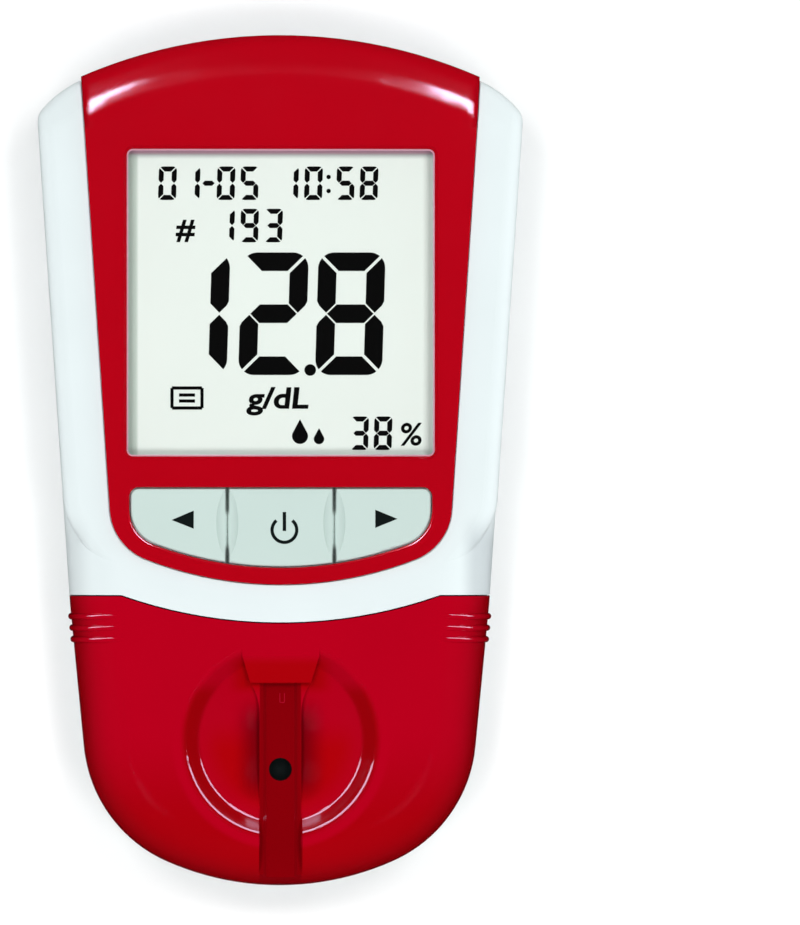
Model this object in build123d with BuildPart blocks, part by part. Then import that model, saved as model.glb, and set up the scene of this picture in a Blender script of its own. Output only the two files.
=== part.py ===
import os
from math import cos, radians, sin, sqrt, tan

from build123d import *

# A hemoglobin meter lying on its back: +Z up through the display, +Y towards the display end.
# All sizes are millimetres. The origin is under the middle of the case, on the surface it rests on.

# How far a cut runs past the face it starts from, and a boss into the wall it grows from
past = 5.0
weld = 0.2

# Case outline, seen from above
case_length = 137.0
shoulder_half_width = 31.9
shoulder_drop = 6.6
widest_half_width = 39.1
widest_from_top = 13.0
widest_corner_radius = 3.0
side_taper = 5.3
bend_below_seam = 1.5
seam_from_nose = 46.8
nose_taper = 2.0
nose_side_from_tip = 24.5
nose_arc_radius = 45.0
nose_corner_radius = 22.5

# Case thickness
foot_height = 0.6
parting_height = 9.0
shell_top = 25.4
plate_proud = 0.6
wall = 2.2
floor_thickness = 2.0
roof_thickness = 2.6
bottom_edge_radius = 2.5
top_edge_radius = 2.5
nose_edge_radius = 8.0
lip_height = 1.2
lip_thickness = 0.9
fit_gap = 0.15

# Sloped top end
crease_arc_radius = 75.9
crease_from_top = 5.4
end_slope = 22.0
crease_softness = 4.5

# Cheek where the flat top runs out towards the nose
cheek_arc_spread = 5.0
cheek_from_nose = 38.4
cheek_corner_radius = 10.0

# Seam between the shell and the strip cover
seam_gap = 0.2
seam_arc_radius = 76.8
seam_arc_sag = 4.4

# Face plate
plate_thickness = 1.2
plate_half_width = 31.9
plate_taper = 0.066
plate_bottom_from_top = 88.4
plate_arc_radius = 60.0
plate_corner_radius = 9.0
plate_gap = 0.15
plate_skirt_height = 17.0
plate_edge_radius = 0.35

# Display window
window_width = 49.5
window_length = 49.4
window_from_top = 18.4
window_corner_radius = 1.0
window_bevel = 0.5
lens_thickness = 1.0
lens_ledge = 1.1
lens_gap = 0.1

# Keys
keys_half_width = 24.3
keys_from_top = 72.8
keys_length = 12.9
keys_arc_radius = 58.0
keys_upper_radius = 1.5
keys_lower_radius = 6.0
key_seam_half_width = 8.6
key_seam = 0.5
key_gap = 0.2
key_below_plate = 0.1
key_thickness = 2.3
key_flange = 0.8
key_flange_thickness = 1.1
key_flange_seam = 0.12
key_edge_radius = 0.35
key_travel = 0.4
key_stem_radius = 1.6
hollow_half_length = 8.4
hollow_radius = 2.2
hollow_lift = 1.3
hollow_centre_from_keys = 5.7

# Tact switches
switch_width = 6.0
switch_height = 3.5
switch_centre_from_keys = 6.9
switch_corner_radius = 0.4
switch_edge_cut = 0.2
switch_lead_width = 1.4
switch_lead_length = 0.8
switch_lead_height = 0.3
switch_lead_spread = 2.2
side_switch_x = 16.0
plunger_radius = 1.7
plunger_rise = 1.5
plunger_depth = 0.9
plunger_edge_radius = 0.3
running_gap = 0.05

# Main board
board_level = 14.8
board_thickness = 1.6
board_half_width = 31.5
board_end_half_width = 28.5
board_key_half_width = 23.5
board_wide_length = 48.0
board_corner_cut = 5.0
board_top_from_top = 8.0
board_bottom_from_top = 85.0
board_screw_end_x = 20.0
board_screw_key_x = 8.6
board_screw_inset = 3.0
board_boss_radius = 2.4
board_screw_radius = 1.0
board_screw_length = 7.0
board_screw_head_radius = 1.8
board_screw_head_height = 1.3

# Small parts on the main board
processor_size = 10.0
processor_x = -8.0
processor_above_window_centre = 6.0
memory_width = 6.0
memory_length = 5.0
memory_x = 10.0
memory_above_window_centre = 8.0
chip_height = 1.4
chip_edge_cut = 0.15
chip_dot_radius = 0.35
chip_dot_inset = 0.9
chip_dot_depth = 0.1
crystal_radius = 0.95
crystal_length = 6.0
crystal_x = 2.0
passive_width = 1.6
passive_length = 0.8
passive_height = 0.6
passive_pitch = 4.4
passive_row_pitch = 3.6
passive_columns = 6
passive_rows = 2
passives_below_window_centre = 12.0

# Display stack
lcd_width = 54.0
lcd_glass_thickness = 2.2
lcd_film_thickness = 0.25
lcd_lift = 2.0
lcd_frame_wall = 1.4
lcd_frame_corner_radius = 1.5
lcd_frame_lip = 1.4
lcd_frame_lip_thickness = 0.6
zebra_width = 2.0
polariser_inset = 0.5

# Battery bay, door and cells
cell_radius = 5.25
cell_body_length = 43.5
cell_nub_length = 1.0
cell_nub_radius = 1.9
cell_pitch = 11.0
cell_count = 4
cell_gap = 0.25
cell_edge_radius = 0.6
spring_room = 4.6
contact_thickness = 0.4
bay_wall = 1.4
bay_roof = 0.8
bay_from_top = 19.0
board_over_bay = 0.5
contact_size = 8.0
contact_corner_radius = 1.0
spring_wire = 0.6
spring_turns = 3.5
spring_clearance = 0.05
spring_radius = 3.2
door_thickness = 1.8
door_overlap = 1.6
hinge_lug_length = 7.4
hinge_cover = 1.2
door_gap = 0.25
hinge_radius = 1.3
hinge_pin_radius = 0.6
hinge_pin_length = 1.4
door_side_lap = 0.4
door_edge_cut = 0.4
hinge_side_cover = 3.0
door_grip_width = 14.0
door_grip_groove = 0.8
door_grip_depth = 0.5
door_grip_pitch = 1.6
door_grip_count = 4
door_grip_from_bay_end = 3.5
label_length = 26.0
label_width = 36.0
label_thickness = 0.15
label_recess = 0.2
label_corner_radius = 1.0

# Screws through the back
post_radius = 2.7
screw_radius = 1.1
screw_bore_gap = 0.08
screw_length = 8.0
screw_head_radius = 2.1
screw_head_height = 1.6
screw_recess_depth = 2.6
screw_recess_gap = 0.3
screw_cross_depth = 0.8
screw_cross_reach = 0.65
screw_cross_width = 0.3
boss_wall = 1.5
screw_end_room = 1.0
boss_floor = 2.2
case_screw_top_x = 32.0
case_screw_top_from_top = 14.5
case_screw_low_x = 28.6
case_screw_low_from_top = 80.5
deck_screw_x = 19.0
deck_screw_from_nose = 15.0

# Feet
foot_radius = 4.0
foot_recess = 0.8
foot_edge_radius = 0.25
foot_top_x = 23.0
foot_top_from_top = 12.0
foot_low_x = 20.0
foot_low_from_nose = 28.5

# Nose deck and strip cover
cover_wall = 2.0
deck_gap = 0.25
deck_wall = 1.6
deck_top = 18.2
deck_edge_cut = 0.8
cover_floor_gap = 0.1
rail_half_x = 32.0
rail_depth = 2.4
rail_length = 8.0
rail_height = 1.4
rail_level = 11.5
rail_gap = 0.12
cover_boss = 1.6

# Dish, channel and hood
dish_from_nose = 23.55
dish_radius = 16.2
dish_rim_depth = 2.3
dish_rim_slope = 45.0
dish_rim_rounding = 1.6
dish_foot_rounding = 1.2
bowl_depth = 2.8
bowl_floor = 1.5
channel_half_width = 3.5
spine_flare = 1.6
spine_flare_length = 5.0
channel_depth = 3.0
strip_seat_half_width = 2.75
strip_seat_depth = 0.4
strip_seat_slope = 0.5
hood_from_dish = 9.25
hood_length = 4.3
hood_drop = 1.2
hood_top_half_width = 6.2
hood_tip_half_width = 4.9
hood_thickness = 1.2
strip_stop_depth = 3.6
optics_from_nose = 18.8
optics_hole_radius = 1.85

# Grip ribs
rib_count = 3
rib_pitch = 1.85
rib_radius = 0.5
rib_first_from_seam = 3.4
rib_reach = 7.6
rib_foot = 12.5

# Optics under the deck
barrel_radius = 2.9
barrel_top_gap = 0.35
optics_board_level = 5.0
optics_board_half_width = 10.0
optics_board_towards_nose = 9.5
optics_board_towards_shell = 14.5
optics_post_radius = 1.5
optics_post_inset = 2.0
optics_board_corner_cut = 1.0
optics_board_thickness = 1.2
optics_block_width = 12.0
optics_block_length = 13.0
optics_block_top = 15.6
optics_block_corner_radius = 1.0
optics_block_side_wall = 2.0
optics_block_end_wall = 1.0
barrel_bore_radius = 1.7
window_radius = 2.2
window_edge_cut = 0.15
gasket_width = 0.9
lamp_offset = 3.6
lamp_width = 3.0
lamp_length = 2.0
lamp_height = 1.6
lamp_head_room = 0.4
lamp_lens_radius = 0.9
lamp_lens_rounding = 0.3
window_glass_thickness = 0.8

# Flat cable between the boards
flex_width = 8.0
flex_thickness = 0.3
flex_socket_height = 1.8
flex_socket_depth = 4.0
flex_socket_width = 10.0
flex_socket_corner_cut = 0.4
flex_bend_radius = 1.0
flex_drop_share = 0.22
buzzer_radius = 4.75
buzzer_height = 5.0
buzzer_x = 16.5
buzzer_from_keys = 4.8
buzzer_edge_cut = 0.3
buzzer_port_radius = 1.0
buzzer_port_depth = 2.0

# Chip socket in the left wall, data port in the top end
chip_slot_width = 15.6
chip_slot_height = 4.6
chip_slot_from_top = 38.0
chip_socket_wall = 0.4
chip_socket_side_wall = 1.2
chip_socket_depth = 8.2
chip_socket_from_wall = 0.6
chip_socket_clearance = 0.2
port_width = 7.8
port_height = 3.9
port_depth = 9.0
port_wall = 0.35
port_gap = 0.3
port_back_wall = 1.5
port_corner_cut = 0.6
port_tongue_side_gap = 1.4
port_tongue_front_gap = 1.2
port_tongue_thickness = 1.0

# Levels and places that follow from the sizes above
half_length = case_length / 2
shell_y = half_length - plate_proud
nose_y = -half_length
seam_y = nose_y + seam_from_nose
seam_arc_bottom = seam_y - seam_arc_sag
bend_y = seam_y - bend_below_seam
bend_half_width = widest_half_width - side_taper
nose_half_width = bend_half_width - nose_taper
cheek_arc_radius = bend_half_width + cheek_arc_spread
roof = shell_top - roof_thickness
shell_floor = foot_height + floor_thickness
board_top = board_level + board_thickness
bay_top = board_level - board_over_bay
plate_top = shell_top + plate_proud
plate_bottom = plate_top - plate_thickness
plate_sunk = plate_thickness - plate_proud
window_y = half_length - window_from_top - window_length / 2
keys_top_y = half_length - keys_from_top
keys_bottom_y = keys_top_y - keys_length
switch_y = keys_top_y - switch_centre_from_keys
key_top = plate_top - key_below_plate
key_bottom = key_top - key_thickness
flange_top = plate_bottom - running_gap
flange_bottom = flange_top - key_flange_thickness
plunger_top = board_top + switch_height + plunger_rise
lens_top = plate_bottom - lens_gap
lens_bottom = lens_top - lens_thickness
dish_y = nose_y + dish_from_nose
optics_y = nose_y + optics_from_nose
deck_bore_radius = barrel_radius + gasket_width
barrel_top = deck_top + barrel_top_gap
channel_floor = shell_top - channel_depth
bowl_bottom = shell_top - dish_rim_depth - bowl_depth
cover_underside = bowl_bottom - bowl_floor
cover_bottom = parting_height + cover_floor_gap
switch_places = {"left": -side_switch_x, "power": 0.0, "right": side_switch_x}

# Battery bay, worked out from its cells
bay_half_width = cell_pitch * (cell_count - 1) / 2 + cell_radius + cell_gap
bay_length = cell_body_length + cell_nub_length + spring_room + 2 * contact_thickness
bay_end = half_length - bay_from_top
bay_start = bay_end - bay_length
cell_level = bay_top - bay_roof - cell_gap - cell_radius
door_top = foot_height + door_thickness
hinge_y = bay_start - bay_wall - hinge_radius - door_gap
hinge_level = foot_height + hinge_radius
door_end = bay_end + door_overlap
door_half_width = bay_half_width + door_side_lap
cell_xs = [cell_pitch * (number - (cell_count - 1) / 2) for number in range(cell_count)]

# Outside face of the shell at a given height on the plan
side_slope = (widest_half_width - bend_half_width) / (half_length - widest_from_top - bend_y)
nose_slope = (bend_half_width - nose_half_width) / (bend_y - nose_y - nose_side_from_tip)
chip_slot_y = half_length - chip_slot_from_top
chip_wall_x = bend_half_width + side_slope * (chip_slot_y - bend_y)
chip_slot_bottom = board_level - chip_socket_wall - chip_slot_height

os.makedirs("parts", exist_ok=True)


def save(part, name):
    part.label = name
    export_step(part, f"parts/{name}.step")


def rectangle(x0, x1, y0, y1):
    with BuildSketch() as area:
        with Locations(((x0 + x1) / 2, (y0 + y1) / 2)):
            Rectangle(x1 - x0, y1 - y0)
    return area.sketch


def block(x0, x1, y0, y1, z0, z1):
    with BuildPart() as solid:
        with BuildSketch(Plane.XY.offset(z0)):
            add(rectangle(x0, x1, y0, y1))
        extrude(amount=z1 - z0)
    return solid.part


def prism(area, z0, z1):
    with BuildPart() as solid:
        with BuildSketch(Plane.XY.offset(z0)):
            add(area)
        extrude(amount=z1 - z0)
    return solid.part


def disc(x, y, radius, z0, z1):
    with BuildPart() as solid:
        with BuildSketch(Plane.XY.offset(z0)):
            with Locations((x, y)):
                Circle(radius)
        extrude(amount=z1 - z0)
    return solid.part


# Plan outlines

def case_plan(grow):
    """Outline of the whole case, grown outwards."""
    shoulder_y = shell_y - shoulder_drop
    widest_y = half_length - widest_from_top
    side_y = nose_y + nose_side_from_tip
    low_y = nose_y - past
    low_x = nose_half_width + nose_slope * (low_y - side_y)
    with BuildSketch() as upper:
        with BuildLine():
            end = ThreePointArc((-shoulder_half_width, shoulder_y), (0, shell_y),
                                (shoulder_half_width, shoulder_y))
            TangentArc((shoulder_half_width, shoulder_y), (widest_half_width, widest_y), tangent=end % 1)
            TangentArc((-shoulder_half_width, shoulder_y), (-widest_half_width, widest_y),
                       tangent=-(end % 0))
            Polyline((widest_half_width, widest_y), (bend_half_width, bend_y),
                     (-bend_half_width, bend_y), (-widest_half_width, widest_y))
        make_face()
        fillet(upper.vertices().group_by(Axis.Y)[1], widest_corner_radius)
    with BuildSketch() as nose:
        with BuildLine():
            Polyline((-bend_half_width, bend_y), (bend_half_width, bend_y),
                     (low_x, low_y), (-low_x, low_y), close=True)
        make_face()
        with BuildSketch(mode=Mode.INTERSECT):
            with Locations((0, nose_y + nose_arc_radius)):
                Circle(nose_arc_radius)
            with Locations((0, bend_y)):
                Rectangle(4 * bend_half_width, nose_arc_radius)
        fillet(nose.vertices().group_by(Axis.Y)[0], nose_corner_radius)
    with BuildSketch() as plan:
        add(upper.sketch)
        add(nose.sketch)
        if grow:
            offset(amount=grow, kind=Kind.ARC)
    return plan.sketch


def flat_top_plan():
    """The part of the outline that keeps the flat top, ending in the cheek arc."""
    arc_centre = nose_y + cheek_from_nose + cheek_arc_radius
    with BuildSketch() as plan:
        add(case_plan(0))
        with BuildSketch(mode=Mode.INTERSECT):
            with Locations((0, arc_centre)):
                Circle(cheek_arc_radius)
            with Locations((0, arc_centre + half_length)):
                Rectangle(4 * widest_half_width, case_length)
        fillet(plan.vertices().group_by(Axis.Y)[0], cheek_corner_radius)
    return plan.sketch


def shell_side(gap):
    """Everything on the display side of the seam, kept a gap away from it."""
    with BuildSketch() as side:
        with Locations((0, seam_y + gap + case_length)):
            Rectangle(4 * widest_half_width, 2 * case_length)
        with Locations((0, seam_arc_bottom + seam_arc_radius)):
            Circle(seam_arc_radius - gap)
    return side.sketch


def nose_side(gap):
    """Everything on the nose side of the seam, kept a gap away from it."""
    with BuildSketch() as side:
        with Locations((0, seam_y - gap - case_length)):
            Rectangle(4 * widest_half_width, 2 * case_length)
        with Locations((0, seam_arc_bottom + seam_arc_radius)):
            Circle(seam_arc_radius + gap, mode=Mode.SUBTRACT)
    return side.sketch


def plate_plan(grow):
    """Outline of the face plate; it runs past the top end, where the case cuts it."""
    top_y = half_length + past
    foot_y = half_length - plate_bottom_from_top
    low_y = foot_y - past
    mid_y = half_length - window_from_top / 2
    with BuildSketch() as plan:
        with BuildLine():
            Polyline((-plate_half_width - plate_taper * (top_y - mid_y), top_y),
                     (plate_half_width + plate_taper * (top_y - mid_y), top_y),
                     (plate_half_width + plate_taper * (low_y - mid_y), low_y),
                     (-plate_half_width - plate_taper * (low_y - mid_y), low_y), close=True)
        make_face()
        with Locations((0, foot_y + plate_arc_radius)):
            Circle(plate_arc_radius, mode=Mode.INTERSECT)
        fillet(plan.vertices().group_by(Axis.Y)[0], plate_corner_radius)
        if grow:
            offset(amount=grow, kind=Kind.ARC)
    return plan.sketch


def keys_plan(grow):
    """Opening that the three keys share."""
    with BuildSketch() as plan:
        with Locations((0, keys_top_y - keys_length / 2)):
            Rectangle(2 * keys_half_width, keys_length)
        with Locations((0, keys_bottom_y + keys_arc_radius)):
            Circle(keys_arc_radius, mode=Mode.INTERSECT)
        fillet(plan.vertices().group_by(Axis.Y)[-1], keys_upper_radius)
        low = [corner for corner in plan.vertices() if corner.Y < keys_top_y - 2 * keys_upper_radius]
        fillet(low, keys_lower_radius)
        if grow:
            offset(amount=grow, kind=Kind.ARC)
    return plan.sketch


def window_plan(grow):
    with BuildSketch() as plan:
        with Locations((0, window_y)):
            RectangleRounded(window_width + 2 * grow, window_length + 2 * grow, window_corner_radius + grow)
    return plan.sketch


# Case volumes

def flat_body():
    """Case volume with the flat top and the sloped top end."""
    cone_centre = shell_y - crease_from_top - crease_arc_radius
    cone_foot_radius = crease_arc_radius + shell_top / tan(radians(end_slope))
    with BuildPart() as body:
        with BuildSketch():
            add(flat_top_plan())
        extrude(amount=shell_top)
        with Locations((0, cone_centre, 0)):
            Cone(cone_foot_radius, crease_arc_radius, shell_top,
                 align=(Align.CENTER, Align.CENTER, Align.MIN), mode=Mode.INTERSECT)
        arcs = body.edges().filter_by(GeomType.CIRCLE)
        fillet(arcs.filter_by(lambda arc: abs(arc.radius - crease_arc_radius) < 0.01), crease_softness)
        sides = body.faces().filter_by(lambda face: abs(face.normal_at().Z) < 1e-6)
        rim = [side.edges().sort_by(Axis.Z)[-1] for side in sides]
        fillet(rim, top_edge_radius)
    return body.part


def moved_flat_body(shift):
    """The same volume moved up and towards the top end by one amount."""
    with BuildPart() as body:
        with Locations((0, shift, shift)):
            add(flat_body())
    return body.part


def nose_body(grow, edge_radius):
    """Case volume of the nose half, with its broad rounded edge."""
    with BuildPart() as body:
        with BuildSketch():
            add(case_plan(grow))
            with Locations((0, -half_length)):
                Rectangle(4 * widest_half_width, 2 * half_length, mode=Mode.INTERSECT)
        extrude(amount=shell_top + grow)
        rim = body.faces().sort_by(Axis.Z)[-1].edges()
        fillet(rim.filter_by(lambda edge: abs(edge.center().Y) > 0.01), edge_radius)
    return body.part


# Screw places

def case_screw_places():
    top = half_length - case_screw_top_from_top
    low = half_length - case_screw_low_from_top
    return [(case_screw_top_x, top), (-case_screw_top_x, top),
            (case_screw_low_x, low), (-case_screw_low_x, low)]


def deck_screw_places():
    y = nose_y + deck_screw_from_nose
    return [(deck_screw_x, y), (-deck_screw_x, y)]


def board_screw_places():
    top = half_length - board_top_from_top - board_screw_inset
    low = half_length - board_bottom_from_top + board_screw_inset
    return [(board_screw_end_x, top), (-board_screw_end_x, top),
            (board_screw_key_x, low), (-board_screw_key_x, low)]


def foot_places():
    top = half_length - foot_top_from_top
    low = nose_y + foot_low_from_nose
    return [(foot_top_x, top), (-foot_top_x, top), (foot_low_x, low), (-foot_low_x, low)]


# Shells

def screw_boss_top():
    return foot_height + screw_recess_depth + boss_floor


def make_lower_shell():
    deck_inset = cover_wall + deck_gap + deck_wall
    boss_top = screw_boss_top()
    with BuildSketch() as rim_ring:
        add(case_plan(-(wall - lip_thickness)))
        add(case_plan(-wall), mode=Mode.SUBTRACT)
        add(shell_side(seam_gap / 2 + wall + fit_gap), mode=Mode.INTERSECT)
    with BuildSketch() as ledge_ring:
        add(case_plan(weld - wall))
        add(case_plan(-deck_inset), mode=Mode.SUBTRACT)
        add(nose_side(seam_gap), mode=Mode.INTERSECT)
    cavity = prism(case_plan(-wall), shell_floor, parting_height + past)
    rim = prism(rim_ring.sketch, parting_height - weld, parting_height + lip_height)
    ledge = prism(ledge_ring.sketch, parting_height - deck_wall, parting_height)
    bay = block(-bay_half_width - bay_wall, bay_half_width + bay_wall,
                bay_start - bay_wall, bay_end + bay_wall, foot_height, bay_top)
    bay_inside = block(-bay_half_width, bay_half_width, bay_start, bay_end, 0, bay_top - bay_roof)
    door_recess = block(-door_half_width - door_gap, door_half_width + door_gap,
                        bay_start - bay_wall - door_gap, door_end + door_gap, 0, door_top)
    house_half = door_half_width + hinge_side_cover
    hinge_house = block(-house_half, house_half, hinge_y - hinge_radius - hinge_cover,
                        bay_start - bay_wall + weld, foot_height, hinge_level + hinge_radius + hinge_cover)
    slot_half = chip_slot_width / 2 + chip_socket_side_wall + chip_socket_clearance
    slot_clearance = block(-case_length, -bay_half_width - bay_wall - chip_socket_clearance,
                           chip_slot_y - slot_half, chip_slot_y + slot_half, parting_height, board_level)
    port_clearance = block(-port_width / 2 - port_gap, port_width / 2 + port_gap,
                           half_length - port_depth, half_length + past,
                           board_level - port_height - port_gap, board_level)
    with BuildPart() as lower:
        with BuildSketch(Plane.XY.offset(foot_height)):
            add(case_plan(0))
        extrude(amount=parting_height - foot_height)
        fillet(lower.faces().sort_by(Axis.Z)[0].edges(), bottom_edge_radius)
        add(cavity, mode=Mode.SUBTRACT)
        add(rim)
        add(ledge)
        add(bay)
        add(hinge_house)
        with BuildSketch(Plane.XY.offset(foot_height)):
            with Locations(*case_screw_places(), *deck_screw_places()):
                Circle(screw_head_radius + boss_wall)
        extrude(amount=boss_top - foot_height)
        with BuildSketch(Plane.XY.offset(foot_height)):
            with Locations(*board_screw_places()):
                Circle(board_boss_radius)
        extrude(amount=board_level - foot_height)
        with BuildSketch(Plane.XY.offset(foot_height)):
            with Locations(*optics_post_places()):
                Circle(optics_post_radius)
        extrude(amount=optics_board_level - foot_height)
        add(bay_inside, mode=Mode.SUBTRACT)
        add(door_recess, mode=Mode.SUBTRACT)
        add(slot_clearance, mode=Mode.SUBTRACT)
        add(port_clearance, mode=Mode.SUBTRACT)
        for side in (1, -1):
            with BuildSketch(Plane.YZ.offset(side * (door_half_width - hinge_lug_length - door_gap))):
                with Locations((hinge_y, hinge_level)):
                    Circle(hinge_radius + door_gap)
                with Locations((hinge_y + hinge_radius / 2, foot_height)):
                    Rectangle(3 * hinge_radius + 2 * door_gap, 2 * hinge_radius)
            extrude(amount=side * (hinge_lug_length + 2 * door_gap), mode=Mode.SUBTRACT)
            with BuildSketch(Plane.YZ.offset(side * door_half_width)):
                with Locations((hinge_y, hinge_level)):
                    Circle(hinge_pin_radius + running_gap)
            extrude(amount=side * (hinge_pin_length + door_gap), mode=Mode.SUBTRACT)
        with BuildSketch():
            with Locations(*case_screw_places(), *deck_screw_places()):
                Circle(screw_head_radius + screw_recess_gap)
        extrude(amount=foot_height + screw_recess_depth, mode=Mode.SUBTRACT)
        with BuildSketch():
            with Locations(*case_screw_places(), *deck_screw_places()):
                Circle(screw_radius + screw_bore_gap)
        extrude(amount=boss_top + past, mode=Mode.SUBTRACT)
        with BuildSketch(Plane.XY.offset(board_top - board_screw_length - screw_end_room)):
            with Locations(*board_screw_places()):
                Circle(board_screw_radius + screw_bore_gap)
        extrude(amount=board_screw_length + screw_end_room, mode=Mode.SUBTRACT)
        with BuildSketch():
            with Locations(*foot_places()):
                Circle(foot_radius + fit_gap)
        extrude(amount=foot_height + foot_recess, mode=Mode.SUBTRACT)
    return lower.part


def optics_post_places():
    low = optics_y - optics_board_towards_nose + optics_post_inset
    top = optics_y + optics_board_towards_shell - optics_post_inset
    x = optics_board_half_width - optics_post_inset
    return [(x, low), (-x, low), (x, top), (-x, top)]


def make_upper_shell():
    boss_top = screw_boss_top()
    above = prism(shell_side(seam_gap / 2), parting_height, shell_top + past)
    front = prism(shell_side(seam_gap / 2 + wall), 0, roof)
    straight = prism(rectangle(-case_length, case_length, 0, case_length), 0, roof)
    nose_part = nose_body(0, nose_edge_radius)
    nose_inside = nose_body(-wall, nose_edge_radius - wall)
    plate_room = prism(plate_plan(plate_gap), plate_skirt_height - plate_gap, shell_top + past)
    with BuildPart() as inside:
        add(prism(case_plan(-wall), 0, roof))
        add(straight, mode=Mode.INTERSECT)
        add(nose_inside)
        add(front, mode=Mode.INTERSECT)
    with BuildPart() as plate_cut:
        add(plate_room)
        add(moved_flat_body(-plate_sunk), mode=Mode.SUBTRACT)
    with BuildSketch() as lip_room:
        add(case_plan(-(wall - lip_thickness - fit_gap)))
        add(shell_side(seam_gap / 2 + wall), mode=Mode.INTERSECT)
    slot = block(-case_length, -bay_half_width - bay_wall - chip_socket_clearance,
                 chip_slot_y - chip_slot_width / 2, chip_slot_y + chip_slot_width / 2,
                 chip_slot_bottom, chip_slot_bottom + chip_slot_height)
    port = block(-port_width / 2 - port_gap, port_width / 2 + port_gap,
                 half_length - port_depth, half_length + past,
                 board_level - port_height - port_gap, board_level + port_gap)
    with BuildPart() as upper:
        add(flat_body())
        add(nose_part)
        add(above, mode=Mode.INTERSECT)
        add(inside.part, mode=Mode.SUBTRACT)
        add(prism(lip_room.sketch, 0, parting_height + lip_height + fit_gap), mode=Mode.SUBTRACT)
        add(plate_cut.part, mode=Mode.SUBTRACT)
        with BuildSketch(Plane.XY.offset(boss_top)):
            with Locations(*case_screw_places()):
                Circle(post_radius)
        extrude(amount=roof + weld - boss_top)
        with BuildSketch(Plane.XY.offset(boss_top)):
            with Locations(*case_screw_places()):
                Circle(screw_radius + screw_bore_gap)
        extrude(amount=screw_length, mode=Mode.SUBTRACT)
        add(prism(window_plan(plate_gap), roof - past, shell_top + past), mode=Mode.SUBTRACT)
        add(prism(window_plan(lens_ledge + lens_gap), lens_bottom, shell_top + past), mode=Mode.SUBTRACT)
        add(prism(keys_plan(key_flange + key_gap), roof - past, shell_top + past), mode=Mode.SUBTRACT)
        add(slot, mode=Mode.SUBTRACT)
        add(port, mode=Mode.SUBTRACT)
    return upper.part


def make_face_plate():
    with BuildPart() as plate:
        add(moved_flat_body(plate_proud))
        add(prism(plate_plan(0), plate_skirt_height, plate_top + past), mode=Mode.INTERSECT)
        add(moved_flat_body(-plate_sunk), mode=Mode.SUBTRACT)
        add(prism(window_plan(0), 0, plate_top + past), mode=Mode.SUBTRACT)
        add(prism(keys_plan(0), 0, plate_top + past), mode=Mode.SUBTRACT)
        top_face = plate.faces().filter_by(Axis.Z).sort_by(Axis.Z)[-1]
        chamfer(window_loop(top_face).edges(), window_bevel)
        top_face = plate.faces().filter_by(Axis.Z).sort_by(Axis.Z)[-1]
        fillet(keys_loop(top_face).edges(), plate_edge_radius)
    return plate.part


def window_loop(face):
    return max(face.inner_wires(), key=lambda wire: wire.bounding_box().center().Y)


def keys_loop(face):
    return min(face.inner_wires(), key=lambda wire: wire.bounding_box().center().Y)


def make_display_lens():
    with BuildPart() as lens:
        with BuildSketch(Plane.XY.offset(lens_bottom)):
            add(window_plan(lens_ledge))
        extrude(amount=lens_thickness)
        chamfer(lens.faces().sort_by(Axis.Z)[-1].edges(), lens_gap)
    return lens.part


# Keys and their switches

def key_plan(x0, x1, grow):
    with BuildSketch() as plan:
        add(keys_plan(grow - key_gap))
        add(rectangle(x0, x1, keys_bottom_y - past, keys_top_y + past), mode=Mode.INTERSECT)
    return plan.sketch


def make_key(x0, x1, stem_x):
    flange_reach = (key_seam - key_flange_seam) / 2
    with BuildPart() as hollow:
        with BuildSketch(Plane.XY):
            with BuildLine():
                Line((0, -hollow_half_length), (0, hollow_half_length))
                ThreePointArc((0, hollow_half_length), (hollow_radius, 0), (0, -hollow_half_length))
            make_face()
        revolve(axis=Axis.Y)
    with BuildPart() as key:
        with BuildSketch(Plane.XY.offset(key_bottom)):
            add(key_plan(x0, x1, 0))
        extrude(amount=key_thickness)
        fillet(key.faces().sort_by(Axis.Z)[-1].edges(), key_edge_radius)
        with BuildSketch(Plane.XY.offset(flange_bottom)):
            add(key_plan(x0 - flange_reach, x1 + flange_reach, key_flange))
        extrude(amount=key_flange_thickness)
        with BuildSketch(Plane.XY.offset(plunger_top)):
            with Locations((stem_x, switch_y)):
                Circle(key_stem_radius)
        extrude(amount=key_bottom - plunger_top + weld)
        for seam_x in (-key_seam_half_width, key_seam_half_width):
            with Locations((seam_x, keys_top_y - hollow_centre_from_keys, key_top + hollow_lift)):
                add(hollow.part, mode=Mode.SUBTRACT)
    return key.part


def make_switch_body(x):
    half = switch_width / 2
    inside = plunger_radius + running_gap
    with BuildPart() as body:
        with BuildSketch(Plane.XY.offset(board_top)):
            with Locations((x, switch_y)):
                RectangleRounded(switch_width, switch_width, switch_corner_radius)
        extrude(amount=switch_height)
        chamfer(body.faces().sort_by(Axis.Z)[-1].edges(), switch_edge_cut)
        with BuildSketch(Plane.XY.offset(board_top + switch_height - plunger_depth - 2 * key_travel)):
            with Locations((x, switch_y)):
                Circle(inside)
        extrude(amount=plunger_depth + 2 * key_travel, mode=Mode.SUBTRACT)
        with BuildSketch(Plane.XY.offset(board_top)):
            with Locations((x, switch_y)):
                with GridLocations(2 * half, 2 * switch_lead_spread, 2, 2):
                    Rectangle(switch_lead_width, switch_lead_length)
        extrude(amount=switch_lead_height)
    return body.part


def make_switch_plunger(x):
    with BuildPart() as plunger:
        with BuildSketch(Plane.XY.offset(board_top + switch_height - plunger_depth)):
            with Locations((x, switch_y)):
                Circle(plunger_radius)
        extrude(amount=plunger_depth + plunger_rise)
        fillet(plunger.faces().sort_by(Axis.Z)[-1].edges(), plunger_edge_radius)
    return plunger.part


# Display stack

def lcd_area(grow_x, low, high):
    """Rectangle about the display centre: half width, then how far towards the keys and the top end."""
    return rectangle(-grow_x, grow_x, window_y - low, window_y + high)


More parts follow.
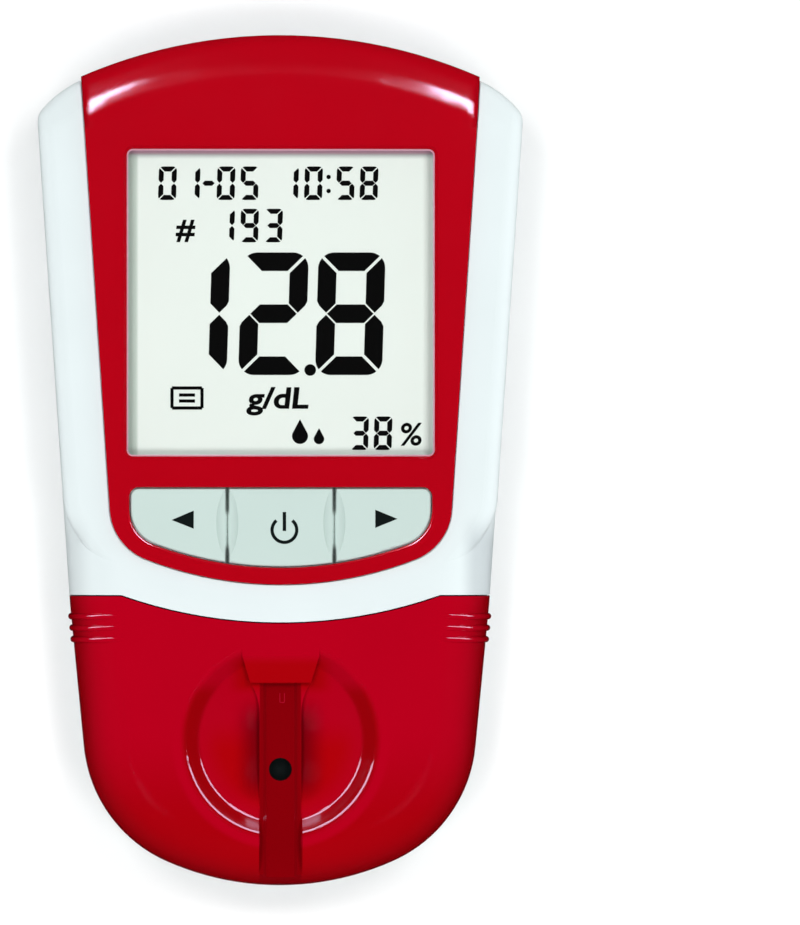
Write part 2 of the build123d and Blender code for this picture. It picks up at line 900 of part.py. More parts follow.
def make_lcd_frame():
    half = lcd_width / 2
    outer = half + lcd_frame_wall
    lcd_bottom = board_top + lcd_lift
    lcd_top = lcd_bottom + 2 * lcd_film_thickness + lcd_glass_thickness
    frame_top = lcd_top + lcd_frame_lip_thickness + running_gap
    opening = half - lcd_frame_lip
    with BuildPart() as frame:
        with BuildSketch(Plane.XY.offset(board_top)):
            with Locations((0, window_y)):
                RectangleRounded(2 * outer, 2 * outer, lcd_frame_corner_radius)
        extrude(amount=frame_top - board_top)
        with BuildSketch(Plane.XY.offset(board_top)):
            add(lcd_area(opening, opening, opening))
        extrude(amount=frame_top - board_top, mode=Mode.SUBTRACT)
        with BuildSketch(Plane.XY.offset(lcd_bottom)):
            add(lcd_area(half + running_gap, half + running_gap, half + running_gap))
        extrude(amount=lcd_top + running_gap - lcd_bottom, mode=Mode.SUBTRACT)
    return frame.part


def make_lcd_layer(bottom, thickness, half_width, low, high):
    with BuildPart() as layer:
        with BuildSketch(Plane.XY.offset(bottom)):
            add(lcd_area(half_width, low, high))
        extrude(amount=thickness)
    return layer.part


# Boards and what they carry

def make_main_board():
    top = half_length - board_top_from_top
    low = half_length - board_bottom_from_top
    wide_low = window_y - board_wide_length / 2
    wide_top = window_y + board_wide_length / 2
    with BuildPart() as board:
        with BuildSketch(Plane.XY.offset(board_level)) as plan:
            add(rectangle(-board_end_half_width, board_end_half_width, wide_low, top))
            add(rectangle(-board_half_width, board_half_width, wide_low, wide_top))
            add(rectangle(-board_key_half_width, board_key_half_width, low, wide_top))
            chamfer(plan.vertices().group_by(Axis.Y)[-1], board_corner_cut)
        extrude(amount=board_thickness)
        with BuildSketch(Plane.XY.offset(board_level)):
            with Locations(*board_screw_places()):
                Circle(board_screw_radius + screw_bore_gap)
        extrude(amount=board_thickness, mode=Mode.SUBTRACT)
    return board.part


def make_chip(x, y, width, length):
    with BuildPart() as chip:
        with BuildSketch(Plane.XY.offset(board_top)):
            with Locations((x, y)):
                Rectangle(width, length)
        extrude(amount=chip_height)
        chamfer(chip.faces().sort_by(Axis.Z)[-1].edges(), chip_edge_cut)
        with BuildSketch(Plane.XY.offset(board_top + chip_height - chip_dot_depth)):
            with Locations((x - width / 2 + chip_dot_inset, y - length / 2 + chip_dot_inset)):
                Circle(chip_dot_radius)
        extrude(amount=past, mode=Mode.SUBTRACT)
    return chip.part


def make_crystal(x, y):
    with BuildPart() as crystal:
        with BuildSketch(Plane.XZ.offset(-y)):
            with Locations((x, board_top + crystal_radius)):
                Circle(crystal_radius)
        extrude(amount=crystal_length)
    return crystal.part


def make_passives():
    with BuildPart() as passives:
        with BuildSketch(Plane.XY.offset(board_top)):
            with Locations((0, window_y - passives_below_window_centre)):
                with GridLocations(passive_pitch, passive_row_pitch, passive_columns, passive_rows):
                    Rectangle(passive_width, passive_length)
        extrude(amount=passive_height)
    return passives.part


def make_buzzer():
    y = switch_y + buzzer_from_keys - switch_width / 2
    with BuildPart() as buzzer:
        with BuildSketch(Plane.XY.offset(board_level - buzzer_height)):
            with Locations((buzzer_x, y)):
                Circle(buzzer_radius)
        extrude(amount=buzzer_height)
        chamfer(buzzer.faces().sort_by(Axis.Z)[0].edges(), buzzer_edge_cut)
        with BuildSketch(Plane.XY.offset(board_level - buzzer_height)):
            with Locations((buzzer_x, y)):
                Circle(buzzer_port_radius)
        extrude(amount=buzzer_port_depth, mode=Mode.SUBTRACT)
    return buzzer.part


def make_optics_block():
    base = optics_board_level + optics_board_thickness
    inner_width = optics_block_width - 2 * optics_block_side_wall
    inner_length = optics_block_length - 2 * optics_block_end_wall
    with BuildPart() as housing:
        with BuildSketch(Plane.XY.offset(base)):
            with Locations((0, optics_y)):
                RectangleRounded(optics_block_width, optics_block_length, optics_block_corner_radius)
        extrude(amount=optics_block_top - base)
        with BuildSketch(Plane.XY.offset(optics_block_top)):
            with Locations((0, optics_y)):
                Circle(barrel_radius)
        extrude(amount=barrel_top - optics_block_top)
        with BuildSketch(Plane.XY.offset(base)):
            with Locations((0, optics_y)):
                Circle(barrel_bore_radius)
        extrude(amount=barrel_top - base, mode=Mode.SUBTRACT)
        with BuildSketch(Plane.XY.offset(base)):
            with Locations((0, optics_y)):
                Rectangle(inner_width, inner_length)
        extrude(amount=lamp_height + lamp_head_room, mode=Mode.SUBTRACT)
        with BuildSketch(Plane.XY.offset(barrel_top - window_glass_thickness)):
            with Locations((0, optics_y)):
                Circle(window_radius)
        extrude(amount=window_glass_thickness, mode=Mode.SUBTRACT)
    return housing.part


def make_optics_window():
    with BuildPart() as window:
        with BuildSketch(Plane.XY.offset(barrel_top - window_glass_thickness)):
            with Locations((0, optics_y)):
                Circle(window_radius - running_gap)
        extrude(amount=window_glass_thickness)
        chamfer(window.faces().sort_by(Axis.Z)[-1].edges(), window_edge_cut)
    return window.part


def make_gasket():
    with BuildPart() as gasket:
        with BuildSketch(Plane.XY.offset(deck_top - deck_wall)):
            with Locations((0, optics_y)):
                Circle(deck_bore_radius - running_gap)
                Circle(barrel_radius + running_gap, mode=Mode.SUBTRACT)
        extrude(amount=deck_wall)
    return gasket.part


def make_optics_board():
    low = optics_y - optics_board_towards_nose
    top = optics_y + optics_board_towards_shell
    with BuildPart() as board:
        with BuildSketch(Plane.XY.offset(optics_board_level)) as plan:
            add(rectangle(-optics_board_half_width, optics_board_half_width, low, top))
            chamfer(plan.vertices(), optics_board_corner_cut)
        extrude(amount=optics_board_thickness)
    return board.part


def make_lamp(y):
    base = optics_board_level + optics_board_thickness
    with BuildPart() as lamp:
        with BuildSketch(Plane.XY.offset(base)):
            with Locations((0, y)):
                Rectangle(lamp_width, lamp_length)
        extrude(amount=lamp_height / 2)
        with BuildSketch(Plane.XY.offset(base + lamp_height / 2)):
            with Locations((0, y)):
                Circle(lamp_lens_radius)
        extrude(amount=lamp_height / 2)
        fillet(lamp.faces().sort_by(Axis.Z)[-1].edges(), lamp_lens_rounding)
    return lamp.part


def make_flex():
    start_y = half_length - board_bottom_from_top
    start_level = board_level - flex_socket_height / 2
    end_y = optics_y + optics_board_towards_shell
    end_level = optics_board_level + optics_board_thickness + flex_socket_height / 2
    drop_y = start_y - flex_drop_share * (start_y - end_y)
    with BuildPart() as flex:
        with BuildLine(Plane.YZ):
            FilletPolyline((start_y, start_level), (drop_y, start_level),
                           (drop_y, end_level), (end_y, end_level), radius=flex_bend_radius)
        with BuildSketch(Plane.XZ.offset(-start_y)):
            with Locations((0, start_level)):
                Rectangle(flex_width, flex_thickness)
        sweep()
    return flex.part


def make_flex_socket(y0, y1, z0, z1):
    half = flex_socket_width / 2
    with BuildPart() as socket:
        add(block(-half, half, y0, y1, z0, z1))
        chamfer(socket.edges().filter_by(Axis.Z), flex_socket_corner_cut)
    return socket.part


# Cells, contacts and the door

def cell_points_up(number):
    return number % 2 == 0


def make_cell(number):
    """A cell; every second one points its nub the other way."""
    x = cell_xs[number]
    up = 1 if cell_points_up(number) else -1
    near = bay_start + contact_thickness + spring_room
    far = bay_end - contact_thickness - spring_room
    base = near if up > 0 else far
    with BuildPart() as cell:
        with BuildSketch(Plane.XZ.offset(-base)):
            with Locations((x, cell_level)):
                Circle(cell_radius)
        extrude(amount=-up * cell_body_length)
        ends = cell.faces().filter_by(Axis.Y)
        fillet(ends.edges(), cell_edge_radius)
        with BuildSketch(Plane.XZ.offset(-(base + up * cell_body_length))):
            with Locations((x, cell_level)):
                Circle(cell_nub_radius)
        extrude(amount=-up * cell_nub_length)
    return cell.part


def make_springs():
    length = spring_room - spring_wire - 2 * spring_clearance
    pitch = length / spring_turns
    springs = []
    for number, x in enumerate(cell_xs):
        up = 1 if cell_points_up(number) else -1
        base = bay_start + contact_thickness if up > 0 else bay_end - contact_thickness
        base = base + up * (spring_wire / 2 + spring_clearance)
        with BuildPart() as spring:
            with BuildLine() as path:
                Helix(pitch=pitch, height=length, radius=spring_radius, center=(x, base, cell_level),
                      direction=(0, up, 0))
            with BuildSketch(path.line ^ 0):
                Circle(spring_wire / 2)
            sweep(is_frenet=True)
        springs.append(spring.part)
    return Compound(children=springs)


def make_plates():
    with BuildPart() as plates:
        for y in (bay_start, bay_end - contact_thickness):
            with BuildSketch(Plane.XZ.offset(-y)):
                with Locations(*[(x, cell_level) for x in cell_xs]):
                    RectangleRounded(contact_size, contact_size, contact_corner_radius)
            extrude(amount=-contact_thickness)
    return plates.part


def make_battery_door():
    lug_start = door_half_width - hinge_lug_length
    sweep_radius = hinge_radius * sqrt(2) + fit_gap
    with BuildPart() as door:
        with BuildSketch(Plane.XY.offset(foot_height)):
            add(rectangle(-door_half_width, door_half_width, bay_start - bay_wall, door_end))
        extrude(amount=door_thickness)
        chamfer(door.faces().sort_by(Axis.Z)[0].edges().group_by(Axis.Y)[-1], door_edge_cut)
        with BuildSketch(Plane.YZ.offset(-lug_start)):
            with Locations((hinge_y, hinge_level)):
                Circle(sweep_radius)
        extrude(amount=2 * lug_start, mode=Mode.SUBTRACT)
        for side in (1, -1):
            with BuildSketch(Plane.YZ.offset(side * lug_start)):
                with Locations((hinge_y, hinge_level)):
                    Circle(hinge_radius)
                with Locations((hinge_y + (hinge_radius + door_gap) / 2, foot_height + door_thickness / 2)):
                    Rectangle(hinge_radius + door_gap + weld, door_thickness)
            extrude(amount=side * hinge_lug_length)
            with BuildSketch(Plane.YZ.offset(side * (door_half_width - weld))):
                with Locations((hinge_y, hinge_level)):
                    Circle(hinge_pin_radius)
            extrude(amount=side * (hinge_pin_length + weld))
        with BuildSketch(Plane.XY.offset(foot_height)):
            with Locations((0, (bay_start + bay_end) / 2)):
                RectangleRounded(label_width, label_length, label_corner_radius)
        extrude(amount=label_recess, mode=Mode.SUBTRACT)
        with BuildSketch(Plane.XY.offset(foot_height)):
            with Locations((0, bay_end - door_grip_from_bay_end)):
                with GridLocations(1, door_grip_pitch, 1, door_grip_count):
                    SlotOverall(door_grip_width, door_grip_groove)
        extrude(amount=door_grip_depth, mode=Mode.SUBTRACT)
    return door.part


def make_label():
    with BuildPart() as label:
        with BuildSketch(Plane.XY.offset(foot_height + label_recess - label_thickness)):
            with Locations((0, (bay_start + bay_end) / 2)):
                RectangleRounded(label_width - 2 * fit_gap, label_length - 2 * fit_gap,
                                 label_corner_radius - fit_gap)
        extrude(amount=label_thickness)
    return label.part


# Sockets at the edge of the board

def make_chip_socket():
    outer_x = -(chip_wall_x - wall - chip_socket_from_wall)
    inner_x = outer_x + chip_socket_depth + chip_socket_side_wall
    half = chip_slot_width / 2 + chip_socket_side_wall
    with BuildPart() as socket:
        add(block(outer_x, inner_x, chip_slot_y - half, chip_slot_y + half,
                  chip_slot_bottom - chip_socket_wall, board_level))
        add(block(outer_x - past, outer_x + chip_socket_depth, chip_slot_y - chip_slot_width / 2,
                  chip_slot_y + chip_slot_width / 2, chip_slot_bottom, chip_slot_bottom + chip_slot_height),
            mode=Mode.SUBTRACT)
    return socket.part


def make_data_port():
    mouth = shell_y - wall / 2
    back = mouth - port_depth
    with BuildPart() as port:
        add(block(-port_width / 2, port_width / 2, back, mouth, board_level - port_height, board_level))
        chamfer(port.edges().filter_by(Axis.Y).group_by(Axis.Z)[0], port_corner_cut)
        add(block(-port_width / 2 + port_wall, port_width / 2 - port_wall, back + port_back_wall,
                  mouth + past, board_level - port_height + port_wall, board_level - port_wall),
            mode=Mode.SUBTRACT)
    return port.part


def make_port_tongue():
    mouth = shell_y - wall / 2
    middle = board_level - port_height / 2
    half = port_width / 2 - port_tongue_side_gap
    return block(-half, half, mouth - port_depth + port_back_wall, mouth - port_tongue_front_gap,
                 middle - port_tongue_thickness / 2, middle + port_tongue_thickness / 2)


# Fasteners and feet

def make_screws(places, face, facing, head_radius, head_height, shank_radius, shank_length):
    """Cross-head screws. The head's outer face is at a level, facing up (1) or down (-1)."""
    seat = face - facing * head_height
    with BuildPart() as screws:
        with BuildSketch(Plane.XY.offset(face)):
            with Locations(*places):
                Circle(head_radius)
        extrude(amount=-facing * head_height)
        with BuildSketch(Plane.XY.offset(seat + facing * weld)):
            with Locations(*places):
                Circle(shank_radius)
        extrude(amount=-facing * (shank_length + weld))
        with BuildSketch(Plane.XY.offset(face)):
            with Locations(*places):
                Rectangle(2 * screw_cross_reach * head_radius, screw_cross_width * head_radius)
                Rectangle(screw_cross_width * head_radius, 2 * screw_cross_reach * head_radius)
        extrude(amount=-facing * screw_cross_depth, mode=Mode.SUBTRACT)
    return screws.part


def make_back_screws(places):
    face = foot_height + screw_recess_depth - screw_head_height
    return make_screws(places, face, -1, screw_head_radius, screw_head_height, screw_radius, screw_length)


def make_board_screws():
    face = board_top + board_screw_head_height
    return make_screws(board_screw_places(), face, 1, board_screw_head_radius, board_screw_head_height,
                       board_screw_radius, board_screw_length)


def make_feet():
    with BuildPart() as feet:
        with BuildSketch():
            with Locations(*foot_places()):
                Circle(foot_radius)
        extrude(amount=foot_height + foot_recess)
        fillet(feet.faces().group_by(Axis.Z)[0].edges(), foot_edge_radius)
    return feet.part


# Nose deck and strip cover

def make_nose_deck():
    inset = cover_wall + deck_gap
    boss_top = screw_boss_top()
    rail_start = seam_y - seam_gap / 2 - rail_length
    with BuildSketch() as outer:
        add(case_plan(-inset))
        add(nose_side(seam_gap), mode=Mode.INTERSECT)
    with BuildSketch() as inner:
        add(case_plan(-inset - deck_wall))
        add(nose_side(seam_gap + deck_wall), mode=Mode.INTERSECT)
    with BuildPart() as deck:
        with BuildSketch(Plane.XY.offset(parting_height)):
            add(outer.sketch)
        extrude(amount=deck_top - parting_height)
        chamfer(deck.faces().sort_by(Axis.Z)[-1].edges(), deck_edge_cut)
        for side in (1, -1):
            add(block(min(side * (rail_half_x - rail_depth), side * rail_half_x),
                      max(side * (rail_half_x - rail_depth), side * rail_half_x),
                      rail_start, seam_y - 2 * seam_gap, rail_level, rail_level + rail_height))
        add(prism(inner.sketch, parting_height, deck_top - deck_wall), mode=Mode.SUBTRACT)
        with BuildSketch(Plane.XY.offset(boss_top)):
            with Locations(*deck_screw_places()):
                Circle(post_radius)
        extrude(amount=deck_top - deck_wall + weld - boss_top)
        with BuildSketch(Plane.XY.offset(boss_top)):
            with Locations(*deck_screw_places()):
                Circle(screw_radius + screw_bore_gap)
        extrude(amount=screw_length, mode=Mode.SUBTRACT)
        with BuildSketch(Plane.XY.offset(optics_block_top)):
            with Locations((0, optics_y)):
                Circle(deck_bore_radius)
        extrude(amount=deck_top, mode=Mode.SUBTRACT)
    return deck.part


def make_dish():
    """The room of the dish: a shallow bowl, then a sloped rim that rounds over into the flat top."""
    slope = radians(dish_rim_slope)
    rim_x = dish_radius - dish_rim_rounding * sin(slope)
    rim_z = shell_top - dish_rim_rounding * (1 - cos(slope))
    foot_level = shell_top - dish_rim_depth
    foot_x = rim_x - (rim_z - foot_level) / tan(slope)
    with BuildPart() as dish:
        with BuildSketch(Plane.XZ.offset(-dish_y)) as profile:
            with BuildLine():
                SagittaArc((0, bowl_bottom), (foot_x, foot_level), -bowl_curve(foot_x))
                Line((foot_x, foot_level), (rim_x, rim_z))
                RadiusArc((rim_x, rim_z), (dish_radius, shell_top), dish_rim_rounding)
                Polyline((dish_radius, shell_top), (dish_radius, shell_top + past),
                         (0, shell_top + past), (0, bowl_bottom))
            make_face()
            fillet(profile.vertices().sort_by_distance((foot_x, foot_level))[0], dish_foot_rounding)
        revolve(axis=Axis((0, dish_y, 0), (0, 0, 1)))
    return dish.part


def bowl_curve(inner):
    """Sagitta of half of the bowl's arc, for a bowl that is level at its centre."""
    bowl_radius = (inner ** 2 + bowl_depth ** 2) / (2 * bowl_depth)
    chord = sqrt(inner ** 2 + bowl_depth ** 2)
    return bowl_radius - sqrt(bowl_radius ** 2 - (chord / 2) ** 2)


def make_grip_rib(y):
    """Half of a rib's path runs up the side and over the rounded edge, sinking in at its end."""
    across = bend_half_width + nose_slope * (y - bend_y)
    bend = nose_edge_radius
    low = (across, y, rib_foot)
    start = (across, y, shell_top - bend)
    middle = (across - bend * (1 - cos(radians(45))), y, shell_top - bend * (1 - sin(radians(45))))
    end = (across - rib_reach, y, shell_top - rib_radius)
    with BuildPart() as rib:
        with BuildLine() as path:
            Line(low, start)
            ThreePointArc(start, middle, end)
        with BuildSketch(Plane(origin=low, z_dir=(0, 0, 1))):
            Circle(rib_radius)
        sweep()
        with Locations(low):
            Sphere(rib_radius)
        mirror(about=Plane.YZ)
    return rib.part


def make_strip_cover():
    rail_start = seam_y - seam_gap / 2 - rail_length
    hood_tip_y = dish_y + hood_from_dish
    hood_root_y = hood_tip_y + hood_length
    hood_underside = shell_top - hood_drop - hood_thickness
    outside = nose_body(0, nose_edge_radius)
    inside = nose_body(-cover_wall, nose_edge_radius - cover_wall)
    region = prism(nose_side(seam_gap / 2), cover_bottom, shell_top + past)
    boss_half = channel_half_width + cover_boss
    boss_top = shell_top - cover_wall / 2
    seat_level = channel_floor - strip_seat_depth
    with BuildPart() as bosses:
        add(disc(0, dish_y, dish_radius + cover_boss, cover_underside, boss_top))
        add(block(-boss_half, boss_half, nose_y, dish_y, seat_level - bowl_floor, boss_top))
        add(outside, mode=Mode.INTERSECT)
    with BuildPart() as hood:
        with BuildSketch(Plane.YZ.offset(-hood_top_half_width)):
            with BuildLine():
                Polyline((hood_tip_y, hood_underside), (hood_tip_y, shell_top - hood_drop),
                         (hood_root_y, shell_top), (hood_root_y + hood_length, shell_top),
                         (hood_root_y + hood_length, hood_underside), close=True)
            make_face()
        extrude(amount=2 * hood_top_half_width)
        with BuildSketch(mode=Mode.PRIVATE) as wedge:
            with BuildLine():
                Polyline((-hood_tip_half_width, hood_tip_y), (hood_tip_half_width, hood_tip_y),
                         (hood_top_half_width, hood_root_y), (hood_top_half_width, hood_root_y + hood_length),
                         (-hood_top_half_width, hood_root_y + hood_length),
                         (-hood_top_half_width, hood_root_y), close=True)
            make_face()
        add(prism(wedge.sketch, 0, shell_top + past), mode=Mode.INTERSECT)
    spine_half = channel_half_width - fit_gap
    flare_half = spine_half + spine_flare
    flare_y = hood_tip_y - spine_flare_length
    with BuildSketch() as spine_plan:
        with BuildLine():
            TangentArc((spine_half, flare_y), (flare_half, hood_tip_y), tangent=(0, 1))
            TangentArc((-spine_half, flare_y), (-flare_half, hood_tip_y), tangent=(0, 1))
            Polyline((spine_half, flare_y), (spine_half, dish_y - dish_radius),
                     (-spine_half, dish_y - dish_radius), (-spine_half, flare_y))
            Polyline((flare_half, hood_tip_y), (flare_half, hood_root_y),
                     (-flare_half, hood_root_y), (-flare_half, hood_tip_y))
        make_face()
    spine = prism(spine_plan.sketch, cover_underside, channel_floor)
    channel = block(-channel_half_width, channel_half_width, nose_y - past, hood_tip_y,
                    channel_floor, shell_top + past)
    pocket = block(-spine_half, spine_half, hood_tip_y - weld,
                   hood_tip_y + strip_stop_depth, channel_floor, hood_underside)
    with BuildPart() as seat:
        with BuildSketch(Plane.XZ.offset(-(hood_tip_y + strip_stop_depth))):
            with BuildLine():
                Polyline((-strip_seat_half_width, channel_floor),
                         (strip_seat_half_width, channel_floor),
                         (strip_seat_half_width - strip_seat_slope, seat_level),
                         (strip_seat_slope - strip_seat_half_width, seat_level), close=True)
            make_face()
        extrude(amount=hood_tip_y + strip_stop_depth - nose_y + past)
    dish = make_dish()
    ribs = [make_grip_rib(seam_y - rib_first_from_seam - number * rib_pitch) for number in range(rib_count)]
    with BuildPart() as cover:
        add(outside)
        add(region, mode=Mode.INTERSECT)
        add(inside, mode=Mode.SUBTRACT)
        add(bosses.part)
        add(dish, mode=Mode.SUBTRACT)
        add(spine)
        add(hood.part)
        add(channel, mode=Mode.SUBTRACT)
        add(pocket, mode=Mode.SUBTRACT)
        add(seat.part, mode=Mode.SUBTRACT)
        with BuildSketch(Plane.XY.offset(cover_underside - past)):
            with Locations((0, optics_y)):
                Circle(optics_hole_radius)
        extrude(amount=shell_top, mode=Mode.SUBTRACT)
        for side in (1, -1):
            inner_x = side * (rail_half_x - rail_depth)
            outer_x = side * (rail_half_x + rail_gap)
            add(block(min(inner_x, outer_x), max(inner_x, outer_x), rail_start - rail_gap, seam_y + past,
                      rail_level - rail_gap, rail_level + rail_height + rail_gap), mode=Mode.SUBTRACT)
        for rib in ribs:
            add(rib)
    return cover.part


# All pieces

lcd_bottom = board_top + lcd_lift
lcd_glass_level = lcd_bottom + lcd_film_thickness
zebra_low = lcd_width / 2 - lcd_frame_lip - running_gap
zebra_top = zebra_low - zebra_width
polariser_half = lcd_width / 2 - polariser_inset
key_edge = keys_half_width + key_flange
seam_half = key_seam / 2
optics_board_top = optics_board_level + optics_board_thickness
board_low_y = half_length - board_bottom_from_top
optics_socket_y = optics_y + optics_board_towards_shell

save(make_lower_shell(), "lower_shell")
save(make_upper_shell(), "upper_shell")
save(make_face_plate(), "face_plate")
save(make_display_lens(), "display_lens")
save(make_key(-key_edge - past, -key_seam_half_width - seam_half, -side_switch_x), "left_button")
save(make_key(-key_seam_half_width + seam_half, key_seam_half_width - seam_half, 0), "power_button")
save(make_key(key_seam_half_width + seam_half, key_edge + past, side_switch_x), "right_button")
for place, x in switch_places.items():
    save(make_switch_body(x), f"switch_body_{place}")
    save(make_switch_plunger(x), f"switch_plunger_{place}")
save(make_lcd_frame(), "lcd_frame")
save(make_lcd_layer(lcd_bottom, lcd_film_thickness, lcd_width / 2, zebra_top - fit_gap, lcd_width / 2),
     "lcd_reflector")
save(make_lcd_layer(lcd_glass_level, lcd_glass_thickness, lcd_width / 2, lcd_width / 2, lcd_width / 2),
     "lcd_panel")
save(make_lcd_layer(lcd_glass_level + lcd_glass_thickness, lcd_film_thickness, polariser_half,
                    polariser_half, polariser_half), "lcd_polariser")
save(make_lcd_layer(board_top, lcd_glass_level - board_top, lcd_width / 2 - lcd_frame_lip - fit_gap,
                    zebra_low, -zebra_top), "zebra_strip")
save(make_main_board(), "main_board")
save(make_chip(processor_x, window_y + processor_above_window_centre, processor_size, processor_size),
     "processor_chip")
save(make_chip(memory_x, window_y + memory_above_window_centre, memory_width, memory_length), "memory_chip")
save(make_crystal(crystal_x, window_y), "clock_crystal")
save(make_passives(), "board_passives")
save(make_buzzer(), "buzzer")
save(make_optics_block(), "optics_block")
save(make_optics_window(), "optics_window")
save(make_gasket(), "optics_gasket")
save(make_optics_board(), "optics_board")
save(make_lamp(optics_y + lamp_offset), "optics_lamp")
save(make_lamp(optics_y - lamp_offset), "photodiode")
save(make_flex(), "optics_flex")
save(make_flex_socket(board_low_y, board_low_y + flex_socket_depth,
                      board_level - flex_socket_height, board_level), "board_flex_socket")
save(make_flex_socket(optics_socket_y - flex_socket_depth, optics_socket_y, optics_board_top,
                      optics_board_top + flex_socket_height), "optics_flex_socket")
for number in range(cell_count):
    save(make_cell(number), f"battery_{number + 1}")
save(make_springs(), "battery_springs")
save(make_plates(), "battery_plates")
save(make_battery_door(), "battery_door")
save(make_label(), "blank_label")
save(make_chip_socket(), "code_chip_socket")
save(make_data_port(), "data_port")
save(make_port_tongue(), "data_port_tongue")
save(make_back_screws(case_screw_places()), "case_screws")
save(make_back_screws(deck_screw_places()), "deck_screws")
save(make_board_screws(), "board_screws")
save(make_feet(), "rubber_feet")
save(make_nose_deck(), "nose_deck")
save(make_strip_cover(), "strip_cover")
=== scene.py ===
"""Looks of the hemoglobin meter: materials, the display's reading, the marks on the keys, and the studio.

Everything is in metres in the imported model's frame: +Y is the display end and +Z is up.
A place given in pixels is in the photograph's frame of 800 by 925.
"""

from math import asin, cos, degrees, pi, radians, sin, sqrt

import bmesh
import bpy
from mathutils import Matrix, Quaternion, Vector


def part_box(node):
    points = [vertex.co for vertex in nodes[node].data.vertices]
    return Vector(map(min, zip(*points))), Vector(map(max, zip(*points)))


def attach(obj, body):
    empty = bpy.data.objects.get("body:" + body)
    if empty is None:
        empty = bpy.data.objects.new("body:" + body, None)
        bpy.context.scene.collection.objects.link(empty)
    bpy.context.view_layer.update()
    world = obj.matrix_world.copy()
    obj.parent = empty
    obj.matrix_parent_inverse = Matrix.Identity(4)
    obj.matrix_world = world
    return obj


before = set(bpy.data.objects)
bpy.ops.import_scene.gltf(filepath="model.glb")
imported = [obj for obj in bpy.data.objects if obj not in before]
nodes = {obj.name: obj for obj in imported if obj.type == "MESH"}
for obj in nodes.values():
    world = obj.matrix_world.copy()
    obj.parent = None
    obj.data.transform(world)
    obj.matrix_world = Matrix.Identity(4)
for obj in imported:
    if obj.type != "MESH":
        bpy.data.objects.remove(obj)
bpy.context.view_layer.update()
MM = 0.001

# Photograph
photo_width = 800
photo_height = 925
pixel = 0.1614 * MM

# Camera: almost straight above, a little to the left
camera_distance = 2.0
camera_tilt = radians(1.7)
sensor = 36
target = Vector((19.4, -0.3, 17.5)) * MM

# Levels and thicknesses of the marks
key_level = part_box("power_button")[1].z
display_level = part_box("lcd_polariser")[1].z
seat_level = 22 * MM
mark_thickness = 0.03 * MM
segment_thickness = 0.06 * MM


# Placing by a pixel

camera_forward = Vector((sin(camera_tilt), 0, -cos(camera_tilt)))
camera_right = Vector((cos(camera_tilt), 0, sin(camera_tilt)))
camera_up = Vector((0, 1, 0))
camera_place = target - camera_forward * camera_distance


def spot(px, py, level):
    """The point at a level, in metres, that the camera shows at a pixel of the photograph."""
    across = (px - photo_width / 2) * pixel / camera_distance
    upward = (photo_height / 2 - py) * pixel / camera_distance
    ray = camera_forward + camera_right * across + camera_up * upward
    return camera_place + ray * ((level - camera_place.z) / ray.z)


# Materials

# A noise texture stays mostly between these two values
noise_low = 0.3
noise_high = 0.7


def shader_tree(name):
    """A new material, its nodes, its links and its main shader."""
    material = bpy.data.materials.new(name)
    material.use_nodes = True
    tree = material.node_tree
    return material, tree.nodes, tree.links, tree.nodes["Principled BSDF"]


def noise(tree_nodes, links, scale, detail=2.0, stretch=(1, 1, 1)):
    """A noise texture in the piece's own coordinates, with its features 1 / scale metres apart."""
    place = tree_nodes.new("ShaderNodeTexCoord")
    mapping = tree_nodes.new("ShaderNodeMapping")
    texture = tree_nodes.new("ShaderNodeTexNoise")
    mapping.inputs["Scale"].default_value = stretch
    texture.inputs["Scale"].default_value = scale
    texture.inputs["Detail"].default_value = detail
    links.new(place.outputs["Object"], mapping.inputs["Vector"])
    links.new(mapping.outputs["Vector"], texture.inputs["Vector"])
    return texture.outputs["Fac"]


def vary_colour(tree_nodes, links, shader, factor, low, high):
    """Base colour that drifts between two near tones."""
    ramp = tree_nodes.new("ShaderNodeValToRGB")
    ramp.color_ramp.elements[0].position = noise_low
    ramp.color_ramp.elements[1].position = noise_high
    ramp.color_ramp.elements[0].color = (*low, 1)
    ramp.color_ramp.elements[1].color = (*high, 1)
    links.new(factor, ramp.inputs["Fac"])
    links.new(ramp.outputs["Color"], shader.inputs["Base Color"])


def vary_roughness(tree_nodes, links, shader, factor, low, high):
    """Roughness that drifts between two near values."""
    span = tree_nodes.new("ShaderNodeMapRange")
    span.inputs["From Min"].default_value = noise_low
    span.inputs["From Max"].default_value = noise_high
    span.inputs["To Min"].default_value = low
    span.inputs["To Max"].default_value = high
    links.new(factor, span.inputs["Value"])
    links.new(span.outputs["Result"], shader.inputs["Roughness"])


def add_bump(tree_nodes, links, shader, factor, depth):
    """Fine relief whose full depth is given in metres."""
    bump = tree_nodes.new("ShaderNodeBump")
    bump.inputs["Distance"].default_value = depth
    links.new(factor, bump.inputs["Height"])
    links.new(bump.outputs["Normal"], shader.inputs["Normal"])


def tone(colour, share):
    """The colour made lighter or darker by a share."""
    return tuple(min(1.0, channel * (1 + share)) for channel in colour)


def moulded(name, colour, roughness, drift=0.015, grain_depth=0.004 * MM, shine=0.5):
    """Moulded plastic or rubber: a faint drift in tone, uneven gloss and a fine grain."""
    sheen_drift = 0.05 * roughness
    material, tree_nodes, links, shader = shader_tree(name)
    shader.inputs["Specular IOR Level"].default_value = shine
    blotches = noise(tree_nodes, links, scale=60)
    sheen = noise(tree_nodes, links, scale=220, detail=4)
    grain = noise(tree_nodes, links, scale=2500, detail=3)
    vary_colour(tree_nodes, links, shader, blotches, tone(colour, -drift), tone(colour, drift))
    vary_roughness(tree_nodes, links, shader, sheen, roughness - sheen_drift, roughness + sheen_drift)
    add_bump(tree_nodes, links, shader, grain, grain_depth)
    return material


